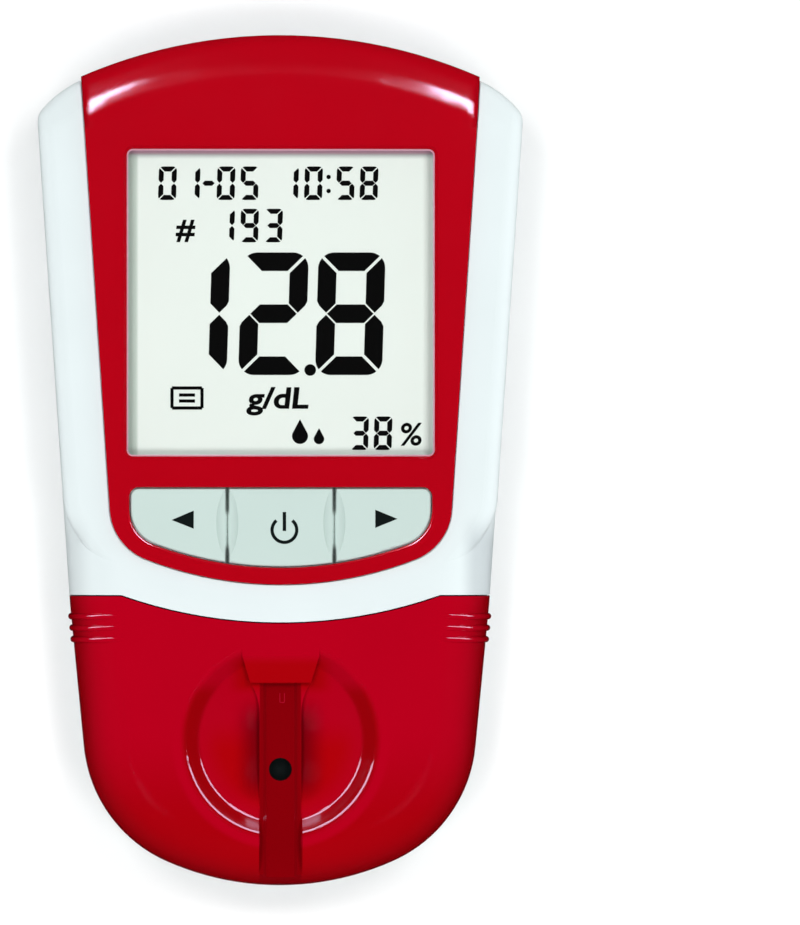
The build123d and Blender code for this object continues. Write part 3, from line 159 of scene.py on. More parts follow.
def inside_band(tree_nodes, links, value, low, high, blur):
    """One where a coordinate lies between two places, fading to zero over a blur outside them."""
    rise = tree_nodes.new("ShaderNodeMapRange")
    fall = tree_nodes.new("ShaderNodeMapRange")
    both = tree_nodes.new("ShaderNodeMath")
    both.operation = "MULTIPLY"
    for edge, start, end in ((rise, low - blur, low), (fall, high + blur, high)):
        edge.interpolation_type = "SMOOTHSTEP"
        edge.inputs["From Min"].default_value = start
        edge.inputs["From Max"].default_value = end
        links.new(value, edge.inputs["Value"])
    links.new(rise.outputs["Result"], both.inputs[0])
    links.new(fall.outputs["Result"], both.inputs[1])
    return both.outputs["Value"]


def piece_coordinates(tree_nodes, links, axis_place):
    """The piece's own X, Y and Z, and the distance R from an upright axis through a place."""
    place = tree_nodes.new("ShaderNodeTexCoord")
    split = tree_nodes.new("ShaderNodeSeparateXYZ")
    flat = tree_nodes.new("ShaderNodeVectorMath")
    flat.operation = "MULTIPLY"
    flat.inputs[1].default_value = (1, 1, 0)
    distance = tree_nodes.new("ShaderNodeVectorMath")
    distance.operation = "DISTANCE"
    distance.inputs[1].default_value = (*axis_place, 0)
    links.new(place.outputs["Object"], split.inputs["Vector"])
    links.new(place.outputs["Object"], flat.inputs[0])
    links.new(flat.outputs["Vector"], distance.inputs[0])
    return {"X": split.outputs["X"], "Y": split.outputs["Y"], "Z": split.outputs["Z"],
            "R": distance.outputs["Value"]}


def tint_zone(material, colour, share, bands, axis_place=(0, 0)):
    """Turns the base colour towards another one inside bands of coordinates, each of low, high and blur."""
    tree_nodes, links = material.node_tree.nodes, material.node_tree.links
    shader = tree_nodes["Principled BSDF"]
    coordinates = piece_coordinates(tree_nodes, links, axis_place)
    zone = None
    for axis, (low, high, blur) in bands.items():
        inside = inside_band(tree_nodes, links, coordinates[axis], low, high, blur)
        if zone is None:
            zone = inside
            continue
        both = tree_nodes.new("ShaderNodeMath")
        both.operation = "MULTIPLY"
        links.new(zone, both.inputs[0])
        links.new(inside, both.inputs[1])
        zone = both.outputs["Value"]
    scaled = tree_nodes.new("ShaderNodeMath")
    scaled.operation = "MULTIPLY"
    scaled.inputs[1].default_value = share
    mix = tree_nodes.new("ShaderNodeMix")
    mix.data_type = "RGBA"
    mix.inputs["B"].default_value = (*colour, 1)
    links.new(zone, scaled.inputs[0])
    links.new(scaled.outputs["Value"], mix.inputs["Factor"])
    links.new(shader.inputs["Base Color"].links[0].from_socket, mix.inputs["A"])
    links.new(mix.outputs["Result"], shader.inputs["Base Color"])


def plated(name, colour, roughness, streak=(1, 1, 1)):
    """Bare or plated metal, streaked along one direction where it is drawn or rolled."""
    material, tree_nodes, links, shader = shader_tree(name)
    shader.inputs["Metallic"].default_value = 1.0
    sheen_drift = 0.06
    streaks = noise(tree_nodes, links, scale=900, detail=4, stretch=streak)
    vary_colour(tree_nodes, links, shader, streaks, tone(colour, -0.08), tone(colour, 0.05))
    vary_roughness(tree_nodes, links, shader, streaks, roughness - sheen_drift, roughness + sheen_drift)
    add_bump(tree_nodes, links, shader, streaks, 0.003 * MM)
    return material


def see_through(name, colour, roughness, opacity):
    """A clear or smoked window: what it doesn't hide shows through."""
    material, tree_nodes, links, shader = shader_tree(name)
    shader.inputs["Alpha"].default_value = opacity
    cloud = noise(tree_nodes, links, scale=80)
    sheen = noise(tree_nodes, links, scale=400, detail=3)
    ripple = noise(tree_nodes, links, scale=90, detail=2)
    vary_colour(tree_nodes, links, shader, cloud, tone(colour, -0.02), tone(colour, 0.02))
    vary_roughness(tree_nodes, links, shader, sheen, roughness, roughness + 0.03)
    add_bump(tree_nodes, links, shader, ripple, 0.002 * MM)
    return material


def circuit():
    """Green solder mask with copper tracks that show through it as paler lines."""
    material, tree_nodes, links, shader = shader_tree("circuit")
    place = tree_nodes.new("ShaderNodeTexCoord")
    tracks = tree_nodes.new("ShaderNodeTexBrick")
    tracks.inputs["Scale"].default_value = 300
    tracks.inputs["Mortar Size"].default_value = 0.03
    tracks.inputs["Mortar Smooth"].default_value = 0.2
    tracks.inputs["Color1"].default_value = (0.012, 0.105, 0.035, 1)
    tracks.inputs["Color2"].default_value = (0.015, 0.12, 0.04, 1)
    tracks.inputs["Mortar"].default_value = (0.05, 0.24, 0.08, 1)
    links.new(place.outputs["Object"], tracks.inputs["Vector"])
    links.new(tracks.outputs["Color"], shader.inputs["Base Color"])
    sheen = noise(tree_nodes, links, scale=300, detail=3)
    vary_roughness(tree_nodes, links, shader, sheen, 0.3, 0.4)
    add_bump(tree_nodes, links, shader, tracks.outputs["Fac"], 0.02 * MM)
    return material


def banded(name, colour, band, cell_end, band_length):
    """A cell's printed sleeve: a plain band of another colour at one end."""
    material, tree_nodes, links, shader = shader_tree(name)
    place = tree_nodes.new("ShaderNodeTexCoord")
    split = tree_nodes.new("ShaderNodeSeparateXYZ")
    ramp = tree_nodes.new("ShaderNodeMapRange")
    mix = tree_nodes.new("ShaderNodeMix")
    mix.data_type = "RGBA"
    ramp.inputs["From Min"].default_value = cell_end - band_length
    ramp.inputs["From Max"].default_value = cell_end - band_length + 0.1 * MM
    mix.inputs["A"].default_value = (*colour, 1)
    mix.inputs["B"].default_value = (*band, 1)
    links.new(place.outputs["Object"], split.inputs["Vector"])
    links.new(split.outputs["Y"], ramp.inputs["Value"])
    links.new(ramp.outputs["Result"], mix.inputs["Factor"])
    links.new(mix.outputs["Result"], shader.inputs["Base Color"])
    sheen = noise(tree_nodes, links, scale=300, detail=3)
    wrinkles = noise(tree_nodes, links, scale=700, detail=2)
    vary_roughness(tree_nodes, links, shader, sheen, 0.25, 0.35)
    add_bump(tree_nodes, links, shader, wrinkles, 0.01 * MM)
    return material


def soften_crease(material, radius, y_band):
    """Rounds the shading of tight folds within a radius, in a band of low, high and blur along the length."""
    tree_nodes, links = material.node_tree.nodes, material.node_tree.links
    along = piece_coordinates(tree_nodes, links, (0, 0))["Y"]
    rounding = tree_nodes.new("ShaderNodeBevel")
    plain = tree_nodes.new("ShaderNodeNewGeometry")
    mix = tree_nodes.new("ShaderNodeMix")
    mix.data_type = "VECTOR"
    rounding.samples = 16
    rounding.inputs["Radius"].default_value = radius
    links.new(inside_band(tree_nodes, links, along, *y_band), mix.inputs["Factor"])
    links.new(plain.outputs["Normal"], mix.inputs["A"])
    links.new(rounding.outputs["Normal"], mix.inputs["B"])
    bump = tree_nodes["Bump"]
    links.new(mix.outputs["Result"], bump.inputs["Normal"])


def dress(material, slot, *names):
    """Gives CAD nodes their material."""
    for name in names:
        node = nodes[name]
        node.data.materials.clear()
        node.data.materials.append(material)


white = moulded("white_shell", (0.75, 0.83, 0.84), 0.3, grain_depth=0.0008 * MM, shine=0.2)
red_plate = moulded("red_plate", (0.455, 0.0003, 0.0073), 0.09, grain_depth=0.0003 * MM)
soften_crease(red_plate, 2.4 * MM, (54 * MM, 80 * MM, MM))
red_cover = moulded("red_cover", (0.475, 0.0003, 0.0118), 0.08, grain_depth=0.0005 * MM)
key_grey = moulded("key_grey", (0.59, 0.72, 0.68), 0.3, shine=0.2)
lcd_face = moulded("lcd_face", (0.87, 0.95, 0.89), 0.6, drift=0.01, shine=0.1)
ink = moulded("ink", (0.006, 0.0095, 0.0092), 0.3, shine=0.1)
segment_ink = moulded("segment_ink", (0.003, 0.003, 0.003), 0.5, shine=0.0)
strip_mark = moulded("strip_mark", (0.42, 0.004, 0.02), 0.4, shine=0.2)
# Pale pink painted highlight for the window's edge
window_edge_highlight = moulded("painted_window_highlight", (0.85, 0.42, 0.56), 0.3, shine=0.2)

dress(white, "white_shell", "upper_shell", "lower_shell", "nose_deck", "battery_door")
dress(red_plate, "red_plate", "face_plate")
dress(red_cover, "red_cover", "strip_cover")
dress(see_through("clear_lens", (0.02, 0.022, 0.022), 0.04, 0.02), "clear_lens", "display_lens")
dress(key_grey, "key_grey", "left_button", "power_button", "right_button")
dress(moulded("frame_white", (0.72, 0.74, 0.73), 0.45, shine=0.2), "frame_white", "lcd_frame")
dress(moulded("lcd_back", (0.7, 0.76, 0.71), 0.5), "lcd_back", "lcd_reflector")
dress(see_through("lcd_glass", (0.7, 0.78, 0.71), 0.08, 0.6), "lcd_glass", "lcd_panel")
dress(lcd_face, "lcd_face", "lcd_polariser")
dress(moulded("elastomer", (0.05, 0.05, 0.055), 0.7), "elastomer", "zebra_strip")
dress(circuit(), "circuit_board", "main_board", "optics_board")
dress(moulded("chip_black", (0.012, 0.012, 0.013), 0.5, grain_depth=0.01 * MM), "chip_black",
      "processor_chip", "memory_chip", "buzzer", "data_port_tongue",
      "switch_body_left", "switch_body_power", "switch_body_right")
dress(moulded("plunger_plastic", (0.55, 0.3, 0.06), 0.45), "plunger_plastic",
      "switch_plunger_left", "switch_plunger_power", "switch_plunger_right")
dress(plated("bright_metal", (0.75, 0.75, 0.74), 0.2), "bright_metal", "clock_crystal")
dress(moulded("ceramic_tan", (0.3, 0.2, 0.12), 0.6), "ceramic_tan", "board_passives")
dress(moulded("optics_black", (0.01, 0.01, 0.011), 0.55), "optics_black", "optics_block")
dress(see_through("window_glass", (0.01, 0.015, 0.015), 0.05, 0.8), "window_glass", "optics_window")
dress(moulded("rubber_black", (0.015, 0.015, 0.016), 0.8), "rubber_black", "optics_gasket")
dress(see_through("lamp_clear", (0.75, 0.75, 0.7), 0.08, 0.7), "lamp_clear", "optics_lamp", "photodiode")
dress(moulded("flex_amber", (0.35, 0.11, 0.01), 0.35), "flex_amber", "optics_flex")
dress(moulded("socket_plastic", (0.55, 0.5, 0.4), 0.5), "socket_plastic",
      "board_flex_socket", "optics_flex_socket")
dress(plated("spring_steel", (0.62, 0.62, 0.6), 0.25, (1, 0.2, 1)), "spring_steel",
      "battery_springs", "battery_plates")
dress(moulded("label_film", (0.78, 0.8, 0.8), 0.55), "label_film", "blank_label")
dress(moulded("socket_black", (0.018, 0.018, 0.019), 0.5), "socket_black", "code_chip_socket")
dress(plated("port_steel", (0.55, 0.55, 0.54), 0.3, (1, 0.1, 1)), "port_steel", "data_port")
dress(plated("screw_steel", (0.42, 0.42, 0.41), 0.35), "screw_steel",
      "case_screws", "deck_screws", "board_screws")
dress(moulded("rubber_grey", (0.12, 0.125, 0.125), 0.75, grain_depth=0.01 * MM), "rubber_grey", "rubber_feet")
for number in range(1, 5):
    cell = f"battery_{number}"
    cell_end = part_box(cell)[1].y
    band_length = 9 * MM
    dress(banded(f"cell_wrap_{number}", (0.02, 0.06, 0.16), (0.3, 0.3, 0.29), cell_end, band_length),
          "cell_wrap", cell)

# Zones of another tone on the keys, the shell, the cover and the display; all but the channel's are painted
# shade or reflection
cover_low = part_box("strip_cover")[0]
dish_place = (0, -44.95 * MM)
dish_foot = 13.2 * MM
dish_edge = 16 * MM
around_dish = (18 * MM, 80 * MM, MM)
# Darker reds painted as shade on the cover: its slopes, nose end, lower bowl, hood, rim and beside the
# channel
slope_shade = (0.27, 0.0003, 0.003)
nose_shade = (0.38, 0.0003, 0.002)
lower_bowl_shade = (0.45, 0.0003, 0.001)
hood_shade = (0.4, 0.0003, 0.001)
rim_shade = (0.34, 0.0003, 0.002)
bowl_shade = (0.17, 0.0003, 0.004)
channel_red = (0.245, 0.0002, 0.003)


def shade_key_seams():
    """Painted shade in the seams between the keys, beyond both ends of the finger hollows."""
    seam_shade = (0.12, 0.15, 0.14)
    half_seam = 0.15 * MM
    above_hollow = (-7.6 * MM, 0, 1.5 * MM)
    below_hollow = (-30 * MM, -14.6 * MM, 1.5 * MM)
    for before, after in (("left_button", "power_button"), ("power_button", "right_button")):
        seam_x = (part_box(before)[1].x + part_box(after)[0].x) / 2
        across = (seam_x - half_seam, seam_x + half_seam, 0.35 * MM)
        for along in (above_hollow, below_hollow):
            tint_zone(key_grey, seam_shade, 0.9, {"X": across, "Y": along})


def shade_hips():
    """Painted shade: the white shell is greyer on both flanks just above the cover."""
    left_flank = ((0.66, 0.73, 0.74), (-40 * MM, -33 * MM, 3 * MM))
    right_flank = ((0.53, 0.59, 0.61), (31.5 * MM, 40 * MM, 3 * MM))
    for colour, across in (left_flank, right_flank):
        tint_zone(white, colour, 0.85,
                  {"X": across, "Y": (-30 * MM, -14 * MM, 6 * MM), "Z": (14 * MM, 30 * MM, 2 * MM)})


def shade_nose_and_slopes():
    """Painted shade: the nose end is darker and less pink, and the cover darkens down its slopes."""
    tint_zone(red_cover, nose_shade, 0.8, {"R": around_dish, "Y": (-80 * MM, -60 * MM, 18 * MM)}, dish_place)
    tint_zone(red_cover, slope_shade, 0.9, {"R": around_dish, "Z": (0, 20 * MM, 5 * MM)}, dish_place)


def shade_dish():
    """Painted shade: a darker, less pink lower bowl and hood, a dark rim, and a shade in the bowl beside the
    channel.
    """
    tint_zone(red_cover, lower_bowl_shade, 0.8,
              {"R": (-MM, dish_foot - 4 * MM, 4.5 * MM), "Y": (-60 * MM, -47 * MM, 6 * MM)}, dish_place)
    tint_zone(red_cover, hood_shade, 0.8, {"X": (-6 * MM, 6 * MM, 3 * MM), "Y": (-36 * MM, -33 * MM, 2 * MM)})
    tint_zone(red_cover, rim_shade, 0.9,
              {"R": (dish_foot + 0.6 * MM, dish_edge - 0.8 * MM, 1.2 * MM),
               "Y": (-62 * MM, -38 * MM, 3 * MM)}, dish_place)
    tint_zone(red_cover, bowl_shade, 0.85,
              {"X": (-3.5 * MM, 3.5 * MM, 4.5 * MM), "Y": (-50.5 * MM, -43 * MM, 6 * MM),
               "Z": (20 * MM, 21.9 * MM, 0.5 * MM)})


def tone_channel():
    """The strip's channel is the darkest, from the hood's tip down over the nose."""
    hood_tip_y = -36 * MM
    nose_bend_y = -66 * MM
    blur = 0.25 * MM
    for high_y, low_z, high_z in ((hood_tip_y, 21.95 * MM, 22.5 * MM), (nose_bend_y, 15 * MM, 22.3 * MM)):
        tint_zone(red_cover, channel_red, 1.0,
                  {"X": (-3.2 * MM, 3.2 * MM, blur), "Y": (cover_low.y, high_y, blur),
                   "Z": (low_z, high_z, blur)})


def shade_display_edges():
    """Painted shadow on the display under the sides and the top of its window, and a painted pink reflection
    of the red plate at the top edge.
    """
    lcd_low, lcd_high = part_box("lcd_polariser")
    side_blur = 0.6 * MM
    # Painted shadow from the window's sides and top
    tint_zone(lcd_face, (0.55, 0.64, 0.57), 0.95, {"X": (lcd_low.x, -23.3 * MM, side_blur)})
    tint_zone(lcd_face, (0.6, 0.64, 0.59), 0.3, {"X": (23.4 * MM, lcd_high.x, side_blur)})
    tint_zone(lcd_face, (0.5, 0.52, 0.52), 0.8, {"Y": (49.6 * MM, lcd_high.y, 1.2 * MM)})
    # Painted pink reflection of the plate along the top edge
    tint_zone(lcd_face, (0.6, 0.2, 0.34), 0.65, {"Y": (49.7 * MM, lcd_high.y, 0.6 * MM)})


shade_key_seams()
shade_hips()
shade_nose_and_slopes()
shade_dish()
tone_channel()
shade_display_edges()


# Flat marks, each a thin solid standing on the surface that carries it

def slab(bm, outline, level, thickness):
    """Adds a closed outline, drawn in the plane, as a thin solid standing on a level."""
    low = [bm.verts.new((x, y, level)) for x, y in outline]
    high = [bm.verts.new((x, y, level + thickness)) for x, y in outline]
    bm.faces.new(reversed(low))
    bm.faces.new(high)
    for i in range(len(outline)):
        j = (i + 1) % len(outline)
        bm.faces.new((low[i], low[j], high[j], high[i]))


def new_piece(name, bm, material, body):
    """Makes a piece of the faces built so far, riding on a body."""
    bmesh.ops.recalc_face_normals(bm, faces=bm.faces)
    mesh = bpy.data.meshes.new(name)
    bm.to_mesh(mesh)
    bm.free()
    mesh.materials.append(material)
    piece = bpy.data.objects.new(name, mesh)
    bpy.context.scene.collection.objects.link(piece)
    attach(piece, body)


def mark(name, outlines, level, thickness, material, body):
    """One piece made of several outlines."""
    bm = bmesh.new()
    for outline in outlines:
        slab(bm, outline, level, thickness)
    new_piece(name, bm, material, body)


def arc_points(x, y, radius, start, end, steps):
    """Points along an arc, angles in degrees."""
    angles = [radians(start + (end - start) * i / steps) for i in range(steps + 1)]
    return [(x + radius * cos(a), y + radius * sin(a)) for a in angles]


def photo_outline(points, level):
    """An outline given in pixels, placed at a level."""
    return [tuple(spot(px, py, level).xy) for px, py in points]


# Figures of seven segments

figures = {
    "0": "abcdef", "1": "bc", "2": "abdeg", "3": "abcdg", "4": "bcfg", "5": "acdfg",
    "6": "acdefg", "7": "abc", "8": "abcdefg", "9": "abcdfg", "-": "g",
}


def upright(height, stroke, gap, corner):
    """The segment at the upper left: rounded outside at its top, pointed at the middle."""
    cut = gap * sqrt(2)
    turn = degrees(asin(gap / corner))
    outline = arc_points(corner, height - corner, corner, 180, 135 + turn, 5)
    outline += [(stroke, height - stroke - cut), (stroke, height / 2 + stroke / 2 + cut / 2)]
    outline += [(stroke / 2, height / 2 + cut / 2), (stroke * 0.12, height / 2 + stroke * 0.38 + cut / 2),
                (0, height / 2 + stroke * 0.62 + cut / 2)]
    return outline


def top_bar(width, height, stroke, gap, corner):
    """The segment at the top, rounded outside at both ends."""
    cut = gap * sqrt(2)
    turn = degrees(asin(gap / corner))
    left = arc_points(corner, height - corner, corner, 135 - turn, 90, 5)
    right = [(width - x, y) for x, y in reversed(left)]
    return left + right + [(width - stroke - cut, height - stroke), (stroke + cut, height - stroke)]


def middle_bar(width, height, stroke, gap):
    """The segment across the middle, pointed at both ends."""
    half = stroke / 2
    left = half + gap * sqrt(2) / 2
    return [(left, height / 2), (left + half, height / 2 + half), (width - left - half, height / 2 + half),
            (width - left, height / 2), (width - left - half, height / 2 - half),
            (left + half, height / 2 - half)]


def segment(letter, width, height, stroke, gap):
    """One segment of a figure, its lower left corner at zero."""
    corner = 0.85 * stroke
    if letter == "a":
        return top_bar(width, height, stroke, gap, corner)
    if letter == "d":
        return [(x, height - y) for x, y in top_bar(width, height, stroke, gap, corner)]
    if letter == "g":
        return middle_bar(width, height, stroke, gap)
    outline = upright(height, stroke, gap, corner)
    if letter in "bc":
        outline = [(width - x, y) for x, y in outline]
    if letter in "ec":
        outline = [(x, height - y) for x, y in outline]
    return outline


def figure(symbol, left, top, width, height, stroke, gap, slant):
    """Outlines of one figure. Its box is given in pixels, and it leans by the slant."""
    outlines = []
    for letter in figures[symbol]:
        outline = segment(letter, width, height, stroke, gap)
        points = [(left + x + (y - height / 2) * slant, top + height - y) for x, y in outline]
        outlines.append(photo_outline(points, display_level))
    return outlines


def row(top, style, places):
    """Outlines of figures side by side: each one's symbol and its left edge in pixels."""
    outlines = []
    for symbol, left in places:
        outlines += figure(symbol, left, top, **style)
    return outlines


def dot(px, py, radius):
    """A round point of the display, in pixels, with 24 corners."""
    return [photo_outline(arc_points(px, py, radius, 0, 345, 23), display_level)]


# The reading, as the photograph's display shows it, in pixels
lean = 0.03
small = dict(width=18, height=33.5, stroke=5, gap=0.55, slant=lean)
large = dict(width=67, height=122.5, stroke=18.5, gap=1.5, slant=lean)

date_time = row(166.5, small, (("0", 158.5), ("1", 182), ("-", 199.5), ("0", 217), ("5", 240.5),
                               ("1", 280.5), ("0", 304.5), ("5", 336.5), ("8", 360)))
date_time += dot(328.6, 177, 2.2) + dot(328.6, 191, 2.2)
record_number = row(208.8, small, (("1", 216.5), ("9", 240.5), ("3", 264.5)))
result = row(252.5, large, (("1", 161.5), ("2", 240), ("8", 316.8))) + dot(310.2, 370, 5.8)
blood_share = row(416.5, small, (("3", 350.5), ("8", 374)))

mark("date_time_segments", date_time, display_level, segment_thickness, segment_ink, "meter")
mark("record_number_segments", record_number, display_level, segment_thickness, segment_ink, "meter")
mark("result_segments", result, display_level, segment_thickness, segment_ink, "meter")
mark("share_segments", blood_share, display_level, segment_thickness, segment_ink, "meter")


# Units and signs of the display

capital_share = 0.7  # a capital's height as a share of the type's size


def symbol_text(name, text, px, py, height, weight, stretch=1.0):
    """A unit or sign of the display, its lower left corner at a pixel and its height in pixels."""
    curve = bpy.data.curves.new(name, "FONT")
    curve.body = text
    curve.size = height * pixel / capital_share
    curve.extrude = segment_thickness / 2
    curve.offset = weight * pixel
    curve.shear = lean * 3
    curve.materials.append(segment_ink)
    piece = bpy.data.objects.new(name, curve)
    place = spot(px, py, display_level)
    piece.location = (place.x, place.y, display_level + segment_thickness / 2)
    piece.scale = (stretch, 1, 1)
    bpy.context.scene.collection.objects.link(piece)
    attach(piece, "meter")


symbol_text("number_sign", "#", 176, 239, height=21, weight=0.7)
symbol_text("unit_sign", "g/dL", 247.5, 408, height=20.5, weight=0.75, stretch=1.2)
symbol_text("percent_sign", "%", 399, 445, height=22, weight=0.45, stretch=1.05)


def strokes(lines, width):
    """Each line, given by its two ends in pixels, as a bar of that width."""
    bars = []
    for (x0, y0), (x1, y1) in lines:
        length = sqrt((x1 - x0) ** 2 + (y1 - y0) ** 2)
        sx = (y1 - y0) / length * width / 2
        sy = (x0 - x1) / length * width / 2
        bars.append([(x0 - sx, y0 - sy), (x0 + sx, y0 + sy), (x1 + sx, y1 + sy), (x1 - sx, y1 - sy)])
    return bars


def memory_sign(left, top):
    """A small stored-record card with two lines on it."""
    width, height, margin, stroke = 30, 20, 7, 3.2
    right, bottom = left + width, top + height
    card_lines = [((left, top), (right, top)), ((right, top), (right, bottom)),
                  ((right, bottom), (left, bottom)), ((left, bottom), (left, top))]
    for line_y in (top + margin, bottom - margin):
        card_lines.append(((left + margin, line_y), (right - margin, line_y)))
    return [photo_outline(bar, display_level) for bar in strokes(card_lines, stroke)]


def drop_sign(px, py, radius):
    """A drop: a round foot and a pointed top."""
    tip_rise = 2.1 * radius
    round_foot = arc_points(px, py, radius, -20, 200, 18)
    return [photo_outline(round_foot + [(px, py - tip_rise)], display_level)]


mark("memory_sign", memory_sign(172, 388), display_level, segment_thickness, segment_ink, "meter")
mark("drop_sign", drop_sign(300, 436, 8) + drop_sign(319, 439, 5.2), display_level, segment_thickness,
     segment_ink, "meter")


# Marks on the keys

def arrow(name, tip, base_x, base_low, base_high, body):
    """A triangle that points sideways, in pixels."""
    outline = photo_outline([tip, (base_x, base_low), (base_x, base_high)], key_level)
    mark(name, [outline], key_level, mark_thickness, ink, body)


arrow("left_arrow", (171.6, 520), 193.7, 528.7, 510.6, "left_button")
arrow("right_arrow", (397.4, 518.8), 375.3, 509.8, 527.9, "right_button")

ring_x, ring_y = 284.4, 530
ring_outer = 14
ring_stroke = 3.3
ring_opening = 40
ring = arc_points(ring_x, ring_y, ring_outer, ring_opening - 90, 270 - ring_opening, 40)
ring += arc_points(ring_x, ring_y, ring_outer - ring_stroke, 270 - ring_opening, ring_opening - 90, 40)
bar_half = 1.7
bar = [(ring_x - bar_half, 512), (ring_x + bar_half, 512), (ring_x + bar_half, 531), (ring_x - bar_half, 531)]
mark("power_sign", [photo_outline(ring, key_level), photo_outline(bar, key_level)],
     key_level, mark_thickness, ink, "power_button")


# A small open bracket in the channel, below the hood, shows where the strip goes

def bracket(px, top, bottom, half_width, stroke, level):
    """Three joined bars, open at the top, in pixels."""
    left, right = px - half_width, px + half_width
    lines = [((left, top), (left, bottom)), ((left, bottom), (right, bottom)),
             ((right, bottom), (right, top))]
    return [photo_outline(bar, level) for bar in strokes(lines, stroke)]


mark("strip_bracket", bracket(282.2, 693, 702.5, half_width=2.3, stroke=0.8, level=seat_level),
     seat_level, mark_thickness, strip_mark, "strip_cover")


# A fine ring along the edge of the window, seated on the lens, pale pink as a painted highlight

def frame_loop(x0, x1, y0, y1, radius, steps):
    """A closed rectangle with rounded corners."""
    corners = ((x1 - radius, y1 - radius, 0), (x0 + radius, y1 - radius, 90),
               (x0 + radius, y0 + radius, 180), (x1 - radius, y0 + radius, 270))
    points = []
    for x, y, start in corners:
        points += arc_points(x, y, radius, start, start + 90, steps)
    return points


def make_window_highlight():
    """A ring of rounded section that fills the corner between the lens and the window's edge; its pale pink
    is a painted highlight.
    """
    width = 0.22 * MM
    rise = 0.3 * MM
    corner = MM
    corner_steps = 8
    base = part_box("display_lens")[1].z
    half_width = 24.74 * MM
    low_y, high_y = 0.72 * MM, 50.08 * MM
    section = ((0, 0), (0, 1), (0.35, 1), (0.75, 0.7), (1, 0))
    bm = bmesh.new()
    rings = []
    for inset, lift in section:
        inward = inset * width
        loop = frame_loop(-half_width + inward, half_width - inward, low_y + inward, high_y - inward,
                          corner - inward, corner_steps)
        rings.append([bm.verts.new((x, y, base + lift * rise)) for x, y in loop])
    count = len(rings[0])
    for i, ring_points in enumerate(rings):
        following = rings[(i + 1) % len(rings)]
        for j in range(count):
            k = (j + 1) % count
            bm.faces.new((ring_points[j], ring_points[k], following[k], following[j]))
    new_piece("painted_window_highlight", bm, window_edge_highlight, "meter")


make_window_highlight()


# Studio

def area_light(name, azimuth, tilt, width, height, radiance, distance=1.2, roll=0, shape="ELLIPSE"):
    """A soft light that faces the meter: azimuth from +Y towards +X, tilt from straight above, in degrees."""
    light = bpy.data.lights.new(name, "AREA")
    light.shape = shape
    light.size = width
    light.size_y = height
    fill = pi / 4 if shape == "ELLIPSE" else 1
    light.energy = radiance * pi * width * height * fill
    lamp = bpy.data.objects.new(name, light)
    turn = radians(azimuth)
    lean_over = radians(tilt)
    away = Vector((sin(turn) * sin(lean_over), cos(turn) * sin(lean_over), cos(lean_over)))
    facing = away.to_track_quat("Z", "Y") @ Quaternion((0, 0, 1), radians(roll))
    lamp.location = away * distance
    lamp.rotation_euler = facing.to_euler()
    lamp.visible_camera = False
    lamp.visible_glossy = False
    bpy.context.scene.collection.objects.link(lamp)
    return lamp


def light_only(lamp, *pieces):
    """Keeps a light to some pieces."""
    receivers = bpy.data.collections.new(f"{lamp.name}_receivers")
    for piece in pieces:
        receivers.objects.link(piece)
    lamp.light_linking.receiver_collection = receivers


def shine_on(lamp, colour, piece):
    """Makes a light one that only glints on a piece."""
    lamp.visible_diffuse = False
    lamp.visible_glossy = True
    lamp.data.color = colour
    light_only(lamp, piece)


cool = (0.75, 0.72, 1.0)
shells = (nodes["upper_shell"], nodes["lower_shell"])
plate = nodes["face_plate"]
cover = nodes["strip_cover"]
for azimuth in (45, 135, 225, 315):
    area_light(f"overhead_{azimuth}", azimuth, tilt=20, width=0.34, height=0.34, radiance=14.5, distance=1.4)
for name, azimuth in (("soft_top", 0), ("soft_right", 90), ("soft_low", 180), ("soft_left", 270)):
    area_light(name, azimuth, tilt=52, width=1.3, height=1.1, radiance=0.35)
for name, azimuth, radiance in (("shell_right", 90, 2.8), ("shell_left", 270, 1.0)):
    light_only(area_light(name, azimuth, tilt=77, width=1.0, height=0.5, radiance=radiance), *shells)
shine_on(area_light("left_plate_gloss", azimuth=-37.1, tilt=31.2, width=0.42, height=0.626, radiance=40,
                    roll=-23.7, shape="RECTANGLE"), cool, plate)
shine_on(area_light("right_plate_gloss", azimuth=42.9, tilt=31.6, width=0.42, height=0.627, radiance=40,
                    roll=26.5, shape="RECTANGLE"), cool, plate)
for name, azimuth in (("left_cover_gloss", -45), ("right_cover_gloss", 45)):
    gloss = area_light(name, azimuth, tilt=66, width=1.5, height=0.4, radiance=14, shape="RECTANGLE")
    shine_on(gloss, cool, cover)


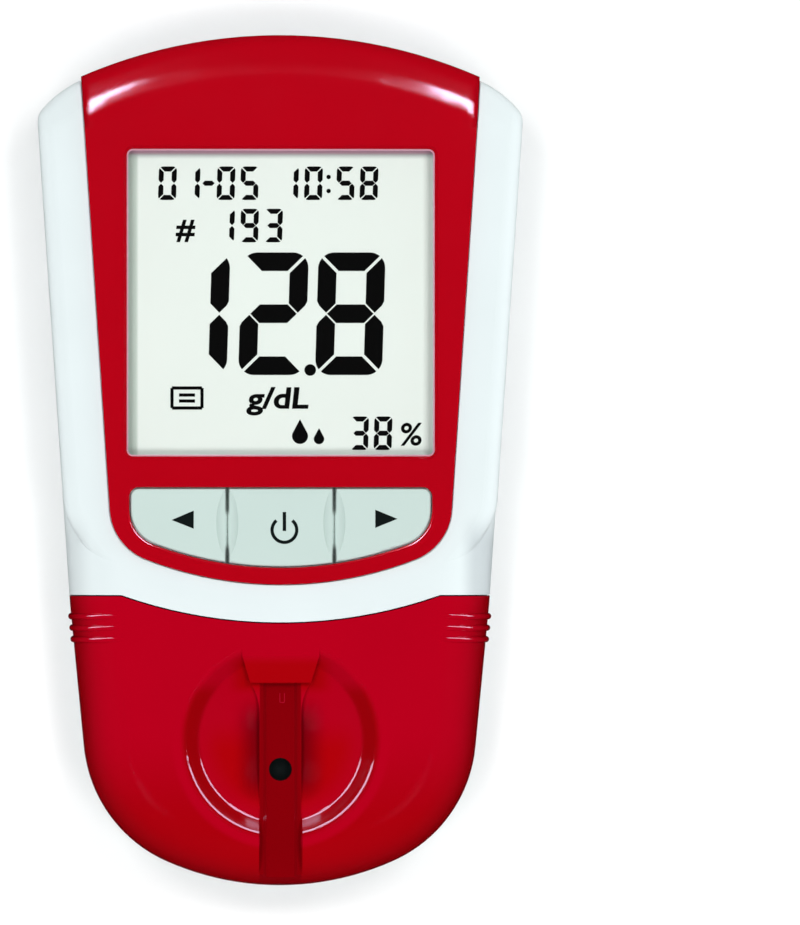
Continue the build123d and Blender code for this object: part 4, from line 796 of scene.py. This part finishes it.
def make_world():
    """Pale near the horizon and dim overhead, so that flat glossy faces keep their colour."""
    pale_up_to = 0.1
    dim_from = 0.4
    world = bpy.data.worlds.new("studio")
    bpy.context.scene.world = world
    world.use_nodes = True
    world.cycles_visibility.glossy = False
    tree = world.node_tree
    place = tree.nodes.new("ShaderNodeTexCoord")
    split = tree.nodes.new("ShaderNodeSeparateXYZ")
    ramp = tree.nodes.new("ShaderNodeValToRGB")
    ramp.color_ramp.elements[0].position = pale_up_to
    ramp.color_ramp.elements[1].position = dim_from
    ramp.color_ramp.elements[0].color = (0.9, 0.9, 0.9, 1)
    ramp.color_ramp.elements[1].color = (0.03, 0.03, 0.03, 1)
    tree.links.new(place.outputs["Generated"], split.inputs["Vector"])
    tree.links.new(split.outputs["Z"], ramp.inputs["Fac"])
    tree.links.new(ramp.outputs["Color"], tree.nodes["Background"].inputs["Color"])


def make_floor():
    """A plain pale table top under the feet."""
    half = 4
    bm = bmesh.new()
    corners = ((-half, -half), (half, -half), (half, half), (-half, half))
    bm.faces.new([bm.verts.new((x, y, 0)) for x, y in corners])
    mesh = bpy.data.meshes.new("floor")
    bm.to_mesh(mesh)
    bm.free()
    mesh.materials.append(moulded("floor_white", (0.9, 0.9, 0.9), 0.7, drift=0.005, grain_depth=0.01 * MM))
    floor = bpy.data.objects.new("floor", mesh)
    bpy.context.scene.collection.objects.link(floor)
    floor.visible_glossy = False
    wash = area_light("floor_wash", azimuth=0, tilt=0, width=2.4, height=2.4, radiance=0.8, distance=1.6)
    light_only(wash, floor)


def make_camera():
    """A camera at the photograph's place that frames its full height."""
    camera = bpy.data.cameras.new("camera")
    camera.sensor_fit = "AUTO"
    camera.sensor_width = sensor
    camera.lens = sensor * camera_distance / (photo_height * pixel)
    camera.clip_start = 0.05
    camera.clip_end = 50
    placed = bpy.data.objects.new("camera", camera)
    placed.location = camera_place
    placed.rotation_euler = (0, -camera_tilt, 0)
    bpy.context.scene.collection.objects.link(placed)
    bpy.context.scene.camera = placed


make_world()
make_floor()
make_camera()
bpy.context.scene.view_settings.view_transform = "Standard"
